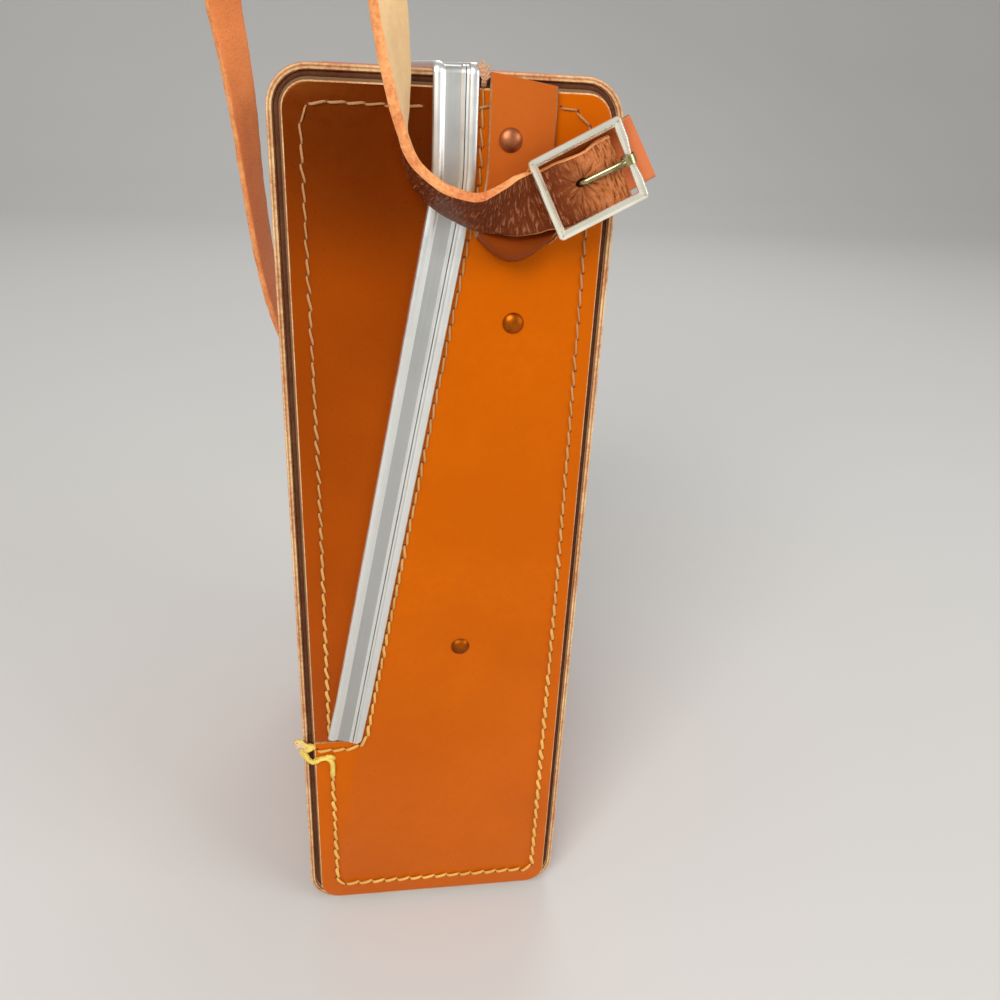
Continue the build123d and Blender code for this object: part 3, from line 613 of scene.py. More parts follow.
def mesh_of(shape, name):
    """A mesh made from a shape, which is used up."""
    mesh = bpy.data.meshes.new(name)
    shape.to_mesh(mesh)
    shape.free()
    return mesh


def metric_mesh(shape, name):
    """A mesh in metres made from a shape in millimetres, its faces turned outwards."""
    bmesh.ops.recalc_face_normals(shape, faces=shape.faces)
    bmesh.ops.scale(shape, vec=(MM, MM, MM), verts=shape.verts)
    return mesh_of(shape, name)


def link(name, data):
    """A new object, linked to the scene."""
    made = bpy.data.objects.new(name, data)
    bpy.context.scene.collection.objects.link(made)
    return made


def settle(shape, name, body, materials, stands_for=(), sharp=SHARP):
    """Turn a shape in millimetres into a finished piece, on its body if it rides on one."""
    mesh = metric_mesh(shape, name)
    if not mesh.polygons:
        raise RuntimeError(f"{name} has no faces")
    for material in materials:
        mesh.materials.append(bpy.data.materials[material])
    mesh.shade_smooth()
    mesh.set_sharp_from_angle(angle=math.radians(sharp))
    piece = link(name, mesh)
    if body:
        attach(piece, body)
    if stands_for:
        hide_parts(*stands_for)
    return piece


def pierce(piece, cutter):
    """Cut a closed shape out of a finished piece."""
    mesh = metric_mesh(cutter, "cutter")
    tool = link("cutter", mesh)
    cut = piece.modifiers.new("hole", "BOOLEAN")
    cut.object = tool
    cut.solver = "EXACT"
    bpy.context.view_layer.update()
    made = bpy.data.meshes.new_from_object(piece.evaluated_get(bpy.context.evaluated_depsgraph_get()))
    piece.modifiers.clear()
    if len(made.polygons) < 0.5 * len(piece.data.polygons):
        raise RuntimeError(f"cutting {piece.name} lost its faces")
    made.set_sharp_from_angle(angle=math.radians(SHARP))
    piece.data = made
    bpy.data.objects.remove(tool)
    bpy.data.meshes.remove(mesh)


def block(middle, size):
    """A box round its middle."""
    shape = bmesh.new()
    bmesh.ops.create_cube(shape, size=1.0, matrix=Matrix.Translation(middle) @ Matrix.Diagonal((*size, 1)))
    return shape


def line_run(start, end, degrees, step=14):
    """Points of a straight wall with the angle of its outward normal."""
    start, end = Vector(start), Vector(end)
    parts = max(1, round((end - start).length / step))
    return [(*start.lerp(end, i / parts), math.radians(degrees)) for i in range(parts + 1)]


def corner_run(centre, radius, first, last, steps=8):
    """Points of a rounded corner with the angle of its outward normal."""
    run = []
    for i in range(steps + 1):
        angle = math.radians(first + (last - first) * i / steps)
        run.append((centre[0] + radius * math.cos(angle), centre[1] + radius * math.sin(angle), angle))
    return run


def wall_run(half, inset, low, high):
    """The outer line of one half of the case, drawn in by an inset, from end to end."""
    side, top, bottom = HALF_WIDTH - inset, TOP - inset, inset
    inner, radius = HALF_WIDTH - CORNER, CORNER - inset
    if half == "body":
        return (
            line_run((PARTING_X + BOARD_CUT, top), (inner, top), 90)
            + corner_run((inner, TOP - CORNER), radius, 90, 0)[1:]
            + line_run((side, TOP - CORNER), (side, CORNER), 0)[1:]
            + corner_run((inner, CORNER), radius, 0, -90)[1:]
            + line_run((inner, bottom), (-inner, bottom), -90)[1:]
            + corner_run((-inner, CORNER), radius, -90, -180)[1:]
            + line_run((-side, CORNER), (-side, low), 180)[1:]
        )
    return (
        line_run((-side, high), (-side, TOP - CORNER), 180)
        + corner_run((-inner, TOP - CORNER), radius, 180, 90)[1:]
        + line_run((-inner, top), (PARTING_X - BOARD_CUT, top), 90)[1:]
    )


def wall_stations(run):
    """Stations along a wall: across is along the case, out is away from it."""
    stations = []
    for index, (x, z, angle) in enumerate(run):
        out = Vector((math.cos(angle), 0, math.sin(angle)))
        before, after = neighbours(run, index)
        way = Vector((after[0] - before[0], 0, after[1] - before[1])).normalized()
        stations.append(place_at((x, 0, z), (0, 1, 0), out, way))
    return stations


def fray(shape, reach, amount):
    """Let raw edges stray a little from a straight cut."""
    for vert in shape.verts:
        if abs(vert.co.y) > reach:
            drift = noise.noise(vert.co * 0.11) + 0.5 * noise.noise(vert.co * 0.43)
            vert.co.y += math.copysign(amount / MM * (drift - 0.3), vert.co.y)


def build_wraps():
    """The leather round the sides: raw layered edges towards the ends, grain outside, flesh inside."""
    wear = bpy.context.scene.camera_case_sizes.edge_wear
    names = ["wrap_leather", "cut_leather", "burnished_edge_and_seam_shade", "flesh_leather"]
    e = HALF_LENGTH
    profile = [
        (-e, -1.5), (-e, -1.0), (-e, -0.55), (-e + 0.25, -0.12), (-e + 0.8, 0.0),
        (e - 0.8, 0.0), (e - 0.25, -0.12), (e, -0.55), (e, -1.0), (e, -1.5),
        (e - 0.3, -1.8), (-e + 0.3, -1.8),
    ]
    slots = [1, 2, 1, 0, 0, 0, 1, 2, 1, 2, 3, 2]
    low, high = HINGE - HINGE_BAND, HINGE + HINGE_BAND
    runs = {
        "body": wall_run("body", 0, low, 0),
        "lid": wall_run("lid", 0, 0, high),
        "hinge": line_run((-HALF_WIDTH, low + 0.05), (-HALF_WIDTH, high - 0.05), 180, 1.6),
    }
    for part, run in runs.items():
        shape = bmesh.new()
        sweep(shape, profile, wall_stations(run), slots)
        fray(shape, e - 0.3, wear)
        if part == "hinge":
            piece = settle(shape, "hinge_leather", None, names)
            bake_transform(piece, "case_body", "lid", start=(0, 0, (HINGE - 8) * MM), end=(0, 0, (HINGE + 8) * MM))
            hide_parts("hinge_strip")
            continue
        piece = settle(shape, f"{part}_wrap_leather", BODIES[part], names, [f"{part}_wrap"])
        if part == "body":
            pierce(piece, block(SLOT_MIDDLE, SLOT_SIZE))
    r = e - 0.7
    shell = [
        (-r + 0.25, -SHELL), (-r, -SHELL + 0.5), (-r, -SHELL + 0.95), (-r + 0.3, 0.0),
        (r - 0.3, 0.0), (r, -SHELL + 0.95), (r, -SHELL + 0.5), (r - 0.25, -SHELL),
    ]
    shell_slots = [1, 0, 1, 2, 1, 0, 1, 2]
    for half, low, high in (("body", HINGE - HINGE_GAP, 0), ("lid", 0, HINGE + HINGE_GAP)):
        shape = bmesh.new()
        sweep(shape, shell, wall_stations(wall_run(half, SHELL_INSET, low, high)), shell_slots)
        piece = settle(shape, f"{half}_shell_board", BODIES[half],
                       ["shaded_board_edge", "shaded_board_edge", "pressed_board"], [f"{half}_shell"])
        if half == "body":
            pierce(piece, block(SLOT_MIDDLE, SLOT_SIZE))


def parting(shift, low, high):
    """Points of the parting line seen on the end, from its foot to the top, moved sideways."""
    reach = BEND_RADIUS * math.tan(SLANT / 2)
    x, z = PARTING_X + shift, BEND + reach
    foot = Vector((x - (BEND - low) * math.tan(SLANT), low))
    start = Vector((x - BEND_RADIUS * (1 - math.cos(SLANT)), z - BEND_RADIUS * math.sin(SLANT)))
    points = [foot.lerp(start, i / 10) for i in range(10)]
    for i in range(7):
        angle = -SLANT + SLANT * i / 6
        points.append(Vector((
            x - BEND_RADIUS + BEND_RADIUS * math.cos(angle), z + BEND_RADIUS * math.sin(angle))))
    points.append(Vector((x, high)))
    return points


def quarter(centre, radius, first):
    """Points of a quarter of a circle."""
    return [(x, z) for x, z, _ in corner_run(centre, radius, first, first + 90)]


def panel_outline(half):
    """The outline of one half's end panel, as points on the end."""
    side, inner, radius = HALF_WIDTH - PANEL_INSET, HALF_WIDTH - CORNER, CORNER - PANEL_INSET
    top = TOP - PANEL_INSET
    if half == "body":
        low = HINGE - HINGE_GAP
        return (
            [(-side, low)]
            + quarter((-inner, CORNER), radius, 180)
            + quarter((inner, CORNER), radius, 270)
            + quarter((inner, TOP - CORNER), radius, 0)
            + [tuple(p) for p in reversed(parting(BOARD_CUT, low, top))]
        )
    low = HINGE + HINGE_GAP
    run = [tuple(p) for p in parting(-BOARD_CUT, low, top)]
    return run + quarter((-inner, TOP - CORNER), radius, 90) + [(-side, low)]


def build_panels():
    """The sewn end panels: a pale cut rim round a glazed face."""
    rim = 0.75
    for half, body in BODIES.items():
        finish = "lid_shade_leather" if half == "lid" else "glazed_leather"
        for end, side in ENDS.items():
            shape = bmesh.new()
            verts = [shape.verts.new((x, side * PANEL_INNER, z)) for x, z in panel_outline(half)]
            made = bmesh.ops.extrude_face_region(shape, geom=[shape.faces.new(verts)])["geom"]
            bmesh.ops.translate(shape, vec=(0, side * (PANEL_FACE - PANEL_INNER), 0),
                                verts=only(bmesh.types.BMVert, made))
            face = only(bmesh.types.BMFace, made)[0]
            bmesh.ops.bevel(shape, geom=list(face.edges), offset=rim, affect="EDGES", segments=3,
                            profile=0.5, material=-1)
            bmesh.ops.recalc_face_normals(shape, faces=shape.faces)
            for each in shape.faces:
                # The rims along the hinge seam get the darker burnished edge, painted as the shade in the seam
                seam = abs(each.calc_center_median().z - HINGE) < 1.2 and abs(each.normal.z) > 0.2
                each.material_index = 0 if each.normal.y * side > 0.9 else 2 if seam else 1
            settle(shape, f"{half}_panel_{end}", body, [finish, "cut_leather", "burnished_edge_and_seam_shade"],
                   [f"{half}_end_panel_{end}"])


def trim_stations(foot):
    """Stations up the near end, over the top and down the far end, along the parting line."""
    line = parting(0, foot, TOP_SEAT - TRIM_CORNER)
    ways = []
    for index in range(len(line)):
        before, after = neighbours(line, index)
        ways.append((after - before).normalized())
    right = (1, 0, 0)
    stations = [place_at((p.x, -FRAME_SEAT, p.y), right, (0, -1, 0), (way.x, 0, way.y))
                for p, way in zip(line, ways)]
    turn = FRAME_SEAT - TRIM_CORNER
    for sign in (-1, 1):
        for step in range(1, 8):
            angle = math.radians(90 * step / 8) if sign < 0 else math.radians(90 - 90 * step / 8)
            out = Vector((0, sign * math.cos(angle), math.sin(angle)))
            way = Vector((0, math.sin(angle), -sign * math.cos(angle)))
            middle = Vector((PARTING_X, sign * turn, TOP_SEAT - TRIM_CORNER))
            stations.append(place_at(middle + TRIM_CORNER * out, right, out, way))
        if sign < 0:
            for step in range(9):
                place = (PARTING_X, -turn + 2 * turn * step / 8, TOP_SEAT)
                stations.append(place_at(place, right, (0, 0, 1), (0, 1, 0)))
    stations += [place_at((p.x, FRAME_SEAT, p.y), right, (0, 1, 0), (-way.x, 0, -way.y))
                 for p, way in reversed(list(zip(line, ways)))]
    return stations


def web_profile(sides, low, high):
    """The section of the trim's web, from inside the boards to just under the strip."""
    left, right = sides
    return [(left, low), (right, low), (right, high), (left, high)]


def build_trim():
    """The aluminium round the opening, in two halves with ribs, and their webs between the boards."""
    halves = {
        "lid": (
            [(-8.4, 0), (-8.4, 1.1), (-8.1, 1.5), (-7.5, 1.75), (-6.7, 1.8), (-6.0, 1.5), (-5.6, 1.15),
             (-5.2, 0.98), (-1.2, 0.98), (-0.8, 1.2), (-0.2, 1.2), (-0.08, 1.05), (-0.08, 0)],
            [0] * 7 + [1] + [0] * 5, HINGE + HINGE_GAP, (-1.35, -0.15)),
        "body": (
            [(0.08, 0), (0.08, 0.95), (0.16, 1.1), (0.75, 1.2), (1.1, 1.62), (1.5, 1.78), (2.6, 1.8),
             (3.15, 1.6), (3.45, 1.1), (3.5, 0.5), (3.5, 0)],
            [0] * 11, HINGE - HINGE_GAP, (0.15, 1.35)),
    }
    sunk = 0.3
    for half, (profile, slots, foot, sides) in halves.items():
        shape = bmesh.new()
        sweep(shape, profile, trim_stations(foot), slots)
        # The foot is cut nearly square to the strip, with its outer corner rounded
        line = parting(0, foot, TOP_SEAT)
        for vert in shape.verts:
            if vert.co.z < foot + 0.01:
                u = vert.co.x - line[0].x
                rounding = 1 - math.sqrt(1 - (max(u - 0.6, 0.0) / 2.95) ** 2)
                vert.co.z += 0.28 * max(-u, 0.0) + 2.9 * rounding
        for side in ENDS.values():
            stations = [place_at((p.x, 0, p.y), (1, 0, 0), (0, side, 0), (0, 0, 1)) for p in line]
            sweep(shape, web_profile(sides, WEB_INNER, FRAME_SEAT + sunk), stations, [0] * 4)
        stations = [place_at((PARTING_X, y, 0), (1, 0, 0), (0, 0, 1), (0, 1, 0))
                    for y in (-FRAME_SEAT, FRAME_SEAT)]
        sweep(shape, web_profile(sides, WEB_LOW, TOP_SEAT + sunk), stations, [0] * 4)
        settle(shape, f"{half}_trim", BODIES[half], ["satin_aluminium", "shaded_matt_aluminium"],
               [f"{half}_frame"], sharp=28)


def walk(points, pitch, start=0.5):
    """Places a pitch apart along a line of points, with the way there."""
    places, need = [], pitch * start
    for a, b in zip(points, points[1:]):
        a, b = Vector(a), Vector(b)
        length = (b - a).length
        while need <= length:
            places.append((a.lerp(b, need / length), (b - a).normalized()))
            need += pitch
        need -= length
    return places


def bent(points, radius, steps=4):
    """A line of points with its corners rounded."""
    run = [Vector(points[0])]
    for before, here, after in zip(points, points[1:], points[2:]):
        before, here, after = Vector(before), Vector(here), Vector(after)
        cut = min(radius, (before - here).length / 2, (after - here).length / 2)
        a, b = here + (before - here).normalized() * cut, here + (after - here).normalized() * cut
        for i in range(steps + 1):
            t = i / steps
            run.append(a.lerp(here, t).lerp(here.lerp(b, t), t))
    return run + [Vector(points[-1])]


def round_section(radius, sides):
    """A round profile."""
    turns = [math.tau * i / sides for i in range(sides)]
    return [(radius * math.cos(turn), radius * math.sin(turn)) for turn in turns]


def stitch_mesh(pitch, thick):
    """One stitch, lying along X on the face that looks to -Y, its ends sunk in their holes."""
    shape = bmesh.new()
    stations = []
    # Share of the pitch, rise off the face in thicknesses, and share of the full thickness
    for t, rise, swell in ((-0.53, -0.35, 0.5), (-0.47, 0.12, 0.78), (-0.3, 0.42, 1.0), (0.0, 0.5, 1.0),
                           (0.3, 0.42, 1.0), (0.47, 0.12, 0.78), (0.53, -0.35, 0.5)):
        size = 0.5 * thick * swell
        place = (t * pitch, -rise * thick, 0.24 * thick * math.sin(5 * t))
        stations.append(place_at(place, (0, 0, 1), (0, -1, 0), (1, 0, 0), size, size * 0.9))
    sweep(shape, round_section(1.0, 6), stations, [0] * 6)
    # Each end gets a flat dark disc: painted shade inside its hole
    for end in (-0.5, 0.5):
        hole = place_at((end * pitch, -0.03, 0.45 * thick), (1, 0, 0), (0, 0, 1), (0, -1, 0), 1.1, 0.8)
        made = bmesh.ops.create_circle(shape, cap_ends=True, segments=7, radius=0.5 * thick, matrix=hole)
        for face in {f for v in made["verts"] for f in v.link_faces}:
            face.material_index = 1
    return mesh_of(shape, "stitch")


def stitch_lines():
    """Where the seams run on an end: body and lid, as lines of points."""
    strip = [(p.x, p.y) for p in parting(4.6, 86.5, 288.0)]
    return {
        "body": [
            bent([(28.6, 286.2), (33.0, 285.8), (38.0, 280.4), (38.6, 150.0), (38.2, 11.4), (-36.6, 11.2),
                  (-37.0, 65.5)], 4.0),
            bent([(-41.8, 76.6), (-35.5, 76.5), (-30.0, 76.9), (-26.4, 78.4), (-24.4, 82.6)]
                 + strip[1:], 3.0),
            [(5.4, 285.4), (9.4, 285.4)],
        ],
        "lid": [bent([(-37.6, 83.0), (-37.4, 180.0), (-38.3, 285.2), (-5.8, 285.0)], 7.0)],
    }


def build_stitches():
    """Saddle stitches round the panels, beside the trim and along the hinge."""
    sizes = bpy.context.scene.camera_case_sizes
    pitch, thick = sizes.stitch_pitch / MM, sizes.thread / MM
    dice = random.Random(7)
    stitch = stitch_mesh(pitch, thick)
    for half, lines in stitch_lines().items():
        for end, side in ENDS.items():
            shape = bmesh.new()
            for place, way in [spot for line in lines for spot in walk(line, pitch)]:
                count = len(shape.verts)
                shape.from_mesh(stitch)
                shape.verts.ensure_lookup_table()
                fresh = shape.verts[count:]
                angle = math.atan2(way.y, way.x) + math.radians(dice.uniform(-5, 5) + 3.5)
                put = (Matrix.Translation((place.x, side * PANEL_FACE, place.y))
                       @ Matrix.Diagonal((1, -side, 1, 1)))
                turn = Matrix.Rotation(-angle, 4, "Y")
                # Wear has thinned the thread towards the top
                thin = 1.2 - 0.52 * clamp((place.y - 60) / 150)
                size = Matrix.Diagonal((
                    dice.uniform(0.93, 1.05), thin * dice.uniform(0.9, 1.1),
                    thin * dice.uniform(0.88, 1.12), 1))
                bmesh.ops.transform(shape, matrix=put @ turn @ size, verts=fresh)
            settle(shape, f"{half}_stitches_{end}", BODIES[half], ["waxed_thread", "hole_shade"], sharp=60)
    bpy.data.meshes.remove(stitch)


def smooth_line(points, steps):
    """A smooth line through points, as places."""
    places = []
    for index in range(len(points) - 1):
        p0, p1 = points[max(index - 1, 0)], points[index]
        p2, p3 = points[index + 1], points[min(index + 2, len(points) - 1)]
        for step in range(steps):
            t = step / steps
            places.append(
                p1 * (2 * t ** 3 - 3 * t * t + 1) + p2 * (3 * t * t - 2 * t ** 3)
                + (p2 - p0) * 0.5 * (t ** 3 - 2 * t * t + t) + (p3 - p1) * 0.5 * (t ** 3 - t * t)
            )
    return places + [points[-1]]


def band_stations(places, edges, wide=None):
    """Stations of a band: across follows its edge directions, out is square to them and to the way along."""
    stations = []
    for index, (place, edge) in enumerate(zip(places, edges)):
        before, after = neighbours(places, index)
        way = (after - before).normalized()
        across = (edge - way * edge.dot(way)).normalized()
        stations.append(place_at(place, across, across.cross(way), way, wide[index] if wide else 1.0))
    return stations


def thread_bit(shape, points, thick):
    """A loose length of thread through points."""
    places = smooth_line([Vector(p) for p in points], 5)
    edges = [Vector((0, 1, 0.2))] * len(places)
    sweep(shape, round_section(thick / 2, 6), band_stations(places, edges), [0] * 6)


def build_knot():
    """The thread tied off round the corner of the hinge, with short frayed ends."""
    thick = bpy.context.scene.camera_case_sizes.thread / MM
    y = PANEL_FACE + 0.55
    # Points of each strand, and its thickness in threads
    strands = [
        ([(-42.6, y - 1.0, 77.4), (-44.6, 77.6, 77.9), (-46.6, 76.4, 76.2), (-47.4, 75.9, 74.0),
          (-46.4, 76.6, 72.6), (-43.6, y, 71.9), (-40.6, y + 0.2, 73.4), (-38.3, y + 0.1, 73.2),
          (-36.9, y, 70.8), (-36.9, y - 0.1, 67.0), (-37.0, y - 0.9, 64.6)], 2.0),
        ([(-41.8, y - 0.9, 72.9), (-43.9, y + 0.5, 72.4), (-45.9, 77.6, 73.6), (-46.6, 77.0, 75.6),
          (-45.0, y, 77.4), (-43.0, y - 0.8, 78.0)], 1.8),
        ([(-43.4, y - 0.2, 78.2), (-45.6, y - 0.8, 78.8), (-47.2, 76.8, 79.0), (-48.6, 76.6, 79.6),
          (-49.6, 77.0, 79.3)], 1.3),
        ([(-44.6, y - 0.4, 77.6), (-46.4, 76.9, 78.0), (-48.2, 76.6, 77.4), (-49.2, 77.0, 77.9)], 1.2),
        ([(-38.9, y, 74.0), (-37.2, y + 0.4, 74.2), (-36.3, y - 0.6, 72.6)], 1.5),
    ]
    # Loose ends: at the knot, and where the seam beside the trim starts under the top
    dice = random.Random(3)
    loose = []
    for turn in (150, 168, 186, 204):
        far = heading(turn) * dice.uniform(2.2, 3.6)
        loose.append(([(-45.6, y - 0.6, 77.8), (-46.4 + far.x * 0.5, 77.2, 77.9 + far.z * 0.5),
                       (-46.4 + far.x, 77.0, 77.9 + far.z)], 0.75))
    for turn in (28, 52, 74, 96, 118, 138, 152, 12, 64, 108):
        far = heading(turn) * dice.uniform(2.4, 4.4)
        root = dice.uniform(7.9, 8.7)
        loose.append(([(root, y - 0.9, 290.4), (root, y + 0.3, 291.8),
                       (root + far.x * 0.5, y + 0.6, 292.6 + far.z * 0.5),
                       (root + far.x, y, 292.0 + far.z)], 0.75))
    plan = (("hinge_knot", strands, "knot_thread"), ("thread_ends", loose, "frayed_thread"))
    for end, side in ENDS.items():
        for name, threads, finish in plan:
            shape = bmesh.new()
            for points, size in threads:
                thread_bit(shape, [(x, side * out, z) for x, out, z in points], thick * size)
            settle(shape, f"{name}_{end}", "case_body", [finish], sharp=60)


def rivet(shape, x, z, side, seat, dome, tail):
    """A rivet spun round its axis: domed head with a flat rim, shank and a peened tail."""
    shares = [(0, 1), (0.3, 0.95), (0.6, 0.76), (0.84, 0.45), (0.96, 0.16), (1, 0)]
    line = [(RIVET_RADIUS * r, dome * h) for r, h in shares]
    line += [(SHANK_RADIUS, 0.0), (SHANK_RADIUS, -tail + 0.6), (PEEN_RADIUS, -tail + 0.6),
             (PEEN_RADIUS * 0.8, -tail), (0, -tail)]
    verts = [shape.verts.new((x + r, side * (seat + h), z)) for r, h in line]
    edges = [shape.edges.new(pair) for pair in zip(verts, verts[1:])]
    bmesh.ops.spin(shape, geom=verts + edges, cent=(x, 0, z), axis=(0, side, 0), angle=math.tau, steps=32,
                   use_merge=True)
    bmesh.ops.remove_doubles(shape, verts=shape.verts, dist=0.001)


def build_rivets():
    """Domed copper rivets on both ends, worn and a little tarnished."""
    ends = [on_buckle(reach, 0) for reach in (-4.0, 4.0)]
    # For each rivet its place on the end, the side, the seat, the height of its dome and its tail
    groups = {
        "divider_rivets": [(x, z, side, FRAME_SEAT, 1.35, 11.3)
                           for x, z in ((7.1, 118.0), (19.2, 229.0)) for side in ENDS.values()],
        "lug_rivets": [(15.6, 278.0, side, 80.9, 1.35, 11.8) for side in ENDS.values()],
        "strap_end_rivets": [(spot.x, spot.z, 1, 91.2, 1.6, 5.75) for spot in ends],
    }
    for node, rivets in groups.items():
        shape = bmesh.new()
        for each in rivets:
            rivet(shape, *each)
        finish = "browned_copper" if node == "divider_rivets" else "dull_copper"
        settle(shape, f"{node}_copper", "case_body", [finish], [node], sharp=30)


def leather_section(width, thick, crown=0.0):
    """A band's profile with rounded edges: grain out, flesh in, cut edges each side."""
    w, t = width / 2, thick / 2
    ring = [(-w, -t * 0.55), (-w, t * 0.5), (-w + 0.25 * t, t * 0.85), (-w + 0.8 * t, t)]
    shares = [-0.75, -0.6, -0.45, -0.3, -0.15, 0.0, 0.15, 0.3, 0.45, 0.6, 0.75]
    ring += [(w * u, t + crown * (1 - 0.8 * u * u)) for u in shares]
    ring += [(w - 0.8 * t, t), (w - 0.25 * t, t * 0.85), (w, t * 0.5), (w, -t * 0.55), (w - 0.35 * t, -t)]
    ring += [(-w * u, -t) for u in shares] + [(-w + 0.35 * t, -t)]
    slots = [1, 1] + [0] * (len(shares) + 2) + [0, 1, 1, 1] + [2] * (len(shares) + 1) + [1]
    return ring, slots


# Middle line of the lug: place along the case, share of the way out to the outer layer, height, turn
LUG_ROUTE = [
    (18.6, 0.0, 293.9, 0), (18.6, 0.0, 286.0, 0), (18.6, 0.0, 277.0, 0), (18.6, 0.0, 270.0, 0),
    (17.9, 0.0, 263.5, 0), (16.9, 0.0, 257.5, 0), (16.1, 0.0, 252.8, 0), (15.9, 0.13, 250.4, 0),
    (15.8, 0.46, 249.4, 0), (15.7, 0.79, 250.4, 0), (15.7, 0.92, 252.8, 0), (15.8, 0.80, 254.6, 6),
    (16.1, 0.67, 256.5, 16), (17.2, 0.61, 259.0, 30), (19.1, 0.68, 261.5, 45), (22.0, 0.83, 263.6, 59),
    (25.6, 0.96, 265.4, 62), (29.5, 1.0, 267.3, 62), (38.5, 1.0, 272.2, 62), (45.0, 1.0, 276.0, 62),
    (49.0, 1.0, 278.4, 62),
]
LUG_LAYERS = 7.4


def build_lugs():
    """The folded leather that holds each end of the strap, bulging where it rolls round."""
    sizes = bpy.context.scene.camera_case_sizes
    width, leather = sizes.lug_width / MM, sizes.lug_leather / MM
    inner = PANEL_FACE + 0.05 + leather / 2
    places, edges, wide = [], [], []
    for x, share, z, turn in LUG_ROUTE:
        edge = heading(-turn)
        behind_strap = 25 < turn < 60
        # Behind the strap the outer layer is drawn in from its upper edge
        drawn_in = 0.1 * width if behind_strap else 0.0
        places.append(Vector((x, -inner - share * LUG_LAYERS, z)) + edge * drawn_in)
        edges.append(edge)
        tapered = 1.0 - 0.04 * max(0.0, (x - 36.0) / 13.0) if share > 0.9 and z > 258 else 1.0
        wide.append(0.8 if behind_strap else tapered)
    line = smooth_line(places, 3)
    sides = [e.normalized() for e in smooth_line(edges, 3)]
    spread = [w.x for w in smooth_line([Vector((w, 0, 0)) for w in wide], 3)]
    ring, slots = leather_section(width, leather)
    for end, side in ENDS.items():
        shape = bmesh.new()
        sweep(shape, ring, band_stations(line, sides, spread), slots)
        index_of, travelled = shape.verts.layers.int["side"], shape.verts.layers.float["way"]
        for vert in shape.verts:
            u, way = ring[vert[index_of]][0] / (width / 2), vert[travelled]
            near_fold = math.exp(-((way - LUG_FOLD) / 6.0) ** 2)
            vert.co.z += near_fold * (5.2 * (u - 0.12) ** 2 - 1.1)
            vert.co.y -= near_fold * 0.5 * (1 - u * u)
            # Past the fold the lower edge swings towards the buckle
            outer_edge = max(0.0, u) ** 1.3
            swing = clamp((way - 48) / 7) * clamp((74 - way) / 14)
            lift = clamp((way - 51) / 5) * clamp((72 - way) / 12)
            vert.co.x += 5.2 * swing * outer_edge
            vert.co.z += 2.2 * lift * outer_edge
            # The outer layer sags under a soft lip where the strap lies over it
            if way > 50:
                lip = 254.1 + 0.035 * (vert.co.x - 15.5) ** 2
                vert.co.y += 1.8 * clamp((vert.co.z - lip) / 1.2) * clamp((64 - way) / 6)
            # The top is cut at a slant, lower towards the back of the case
            vert.co.z -= max(0.0, 1 - way / 9) * 0.15 * max(vert.co.x - 9.8, 0.0)
            vert.co += noise.noise_vector(vert.co * 0.12) * 0.22
        if side > 0:
            bmesh.ops.scale(shape, vec=(1, -1, 1), verts=shape.verts)
        settle(shape, f"strap_lug_{end}_leather", "case_body", ["lug_back_shaded", "burnished_edge_and_seam_shade", "lug_hide"],
               [f"strap_lug_{end}"], sharp=50)


# Middle line of the strap between its two buckled or riveted ends: place, then direction of its edge
STRAP_ROUTE = [
    (19.2, -90.7, 262.6, -0.46, -0.22, 0.86), (13.8, -92.5, 261.4, -0.41, -0.51, 0.76),
    (6.7, -93.3, 261.2, -0.23, -0.74, 0.63), (0.3, -93.0, 262.9, -0.10, -0.85, 0.51),
    (-5.5, -92.7, 266.2, -0.06, -0.89, 0.45), (-10.4, -92.3, 271.6, -0.05, -0.93, 0.34),
    (-13.2, -92.0, 279.8, -0.08, -0.99, 0.11), (-14.2, -91.2, 289.3, -0.30, -0.95, 0.04),
    (-15.3, -89.8, 298.5, -0.44, -0.90, 0.0), (-16.6, -87.3, 309.5, -0.51, -0.86, -0.05),
    (-19.2, -83.0, 325.0, -0.62, -0.78, -0.08), (-23.5, -74.5, 344.0, -0.80, -0.52, -0.10),
    (-30.0, -59.0, 361.5, -0.96, -0.20, 0.05), (-38.0, -38.0, 374.5, -0.98, 0.05, 0.15),
    (-47.0, -13.0, 380.5, -0.97, 0.20, 0.10), (-55.5, 11.5, 378.0, -0.96, 0.25, -0.05),
    (-63.0, 34.0, 366.5, -0.96, 0.12, -0.18), (-69.0, 54.0, 349.5, -0.93, -0.18, -0.18),
    (-73.0, 71.0, 331.5, -0.84, -0.48, -0.12), (-74.8, 83.0, 313.5, -0.72, -0.68, 0.0),
    (-73.0, 90.0, 293.5, -0.66, -0.74, 0.0), (-71.0, 92.0, 271.5, -0.56, -0.82, 0.0),
    (-69.6, 92.5, 249.0, -0.44, -0.89, 0.0), (-67.6, 93.0, 225.0, -0.38, -0.92, 0.05),
    (-64.8, 94.0, 202.0, -0.30, -0.95, 0.06), (-60.6, 95.5, 182.0, -0.20, -0.97, 0.05),
    (-53.5, 97.0, 165.5, -0.10, -0.99, 0.0), (-43.0, 97.5, 155.5, 0.0, -1.0, 0.0),
    (-31.5, 98.0, 156.0, 0.0, -1.0, 0.05), (-21.5, 97.5, 165.5, 0.0, -0.98, 0.10),
    (-14.0, 97.0, 181.0, -0.05, -0.95, 0.20), (-8.0, 96.5, 200.0, -0.15, -0.88, 0.30),
    (-2.0, 95.5, 218.5, -0.30, -0.74, 0.42), (5.0, 93.8, 236.0, -0.45, -0.52, 0.60),
    (12.5, 91.8, 250.5, -0.52, -0.22, 0.76),
]


def on_buckle(reach, y):
    """A point on the buckle's long axis, at a distance from its centre."""
    return Vector((BUCKLE_X, 0, BUCKLE_Z)) + ALONG * reach + Vector((0, y, 0))


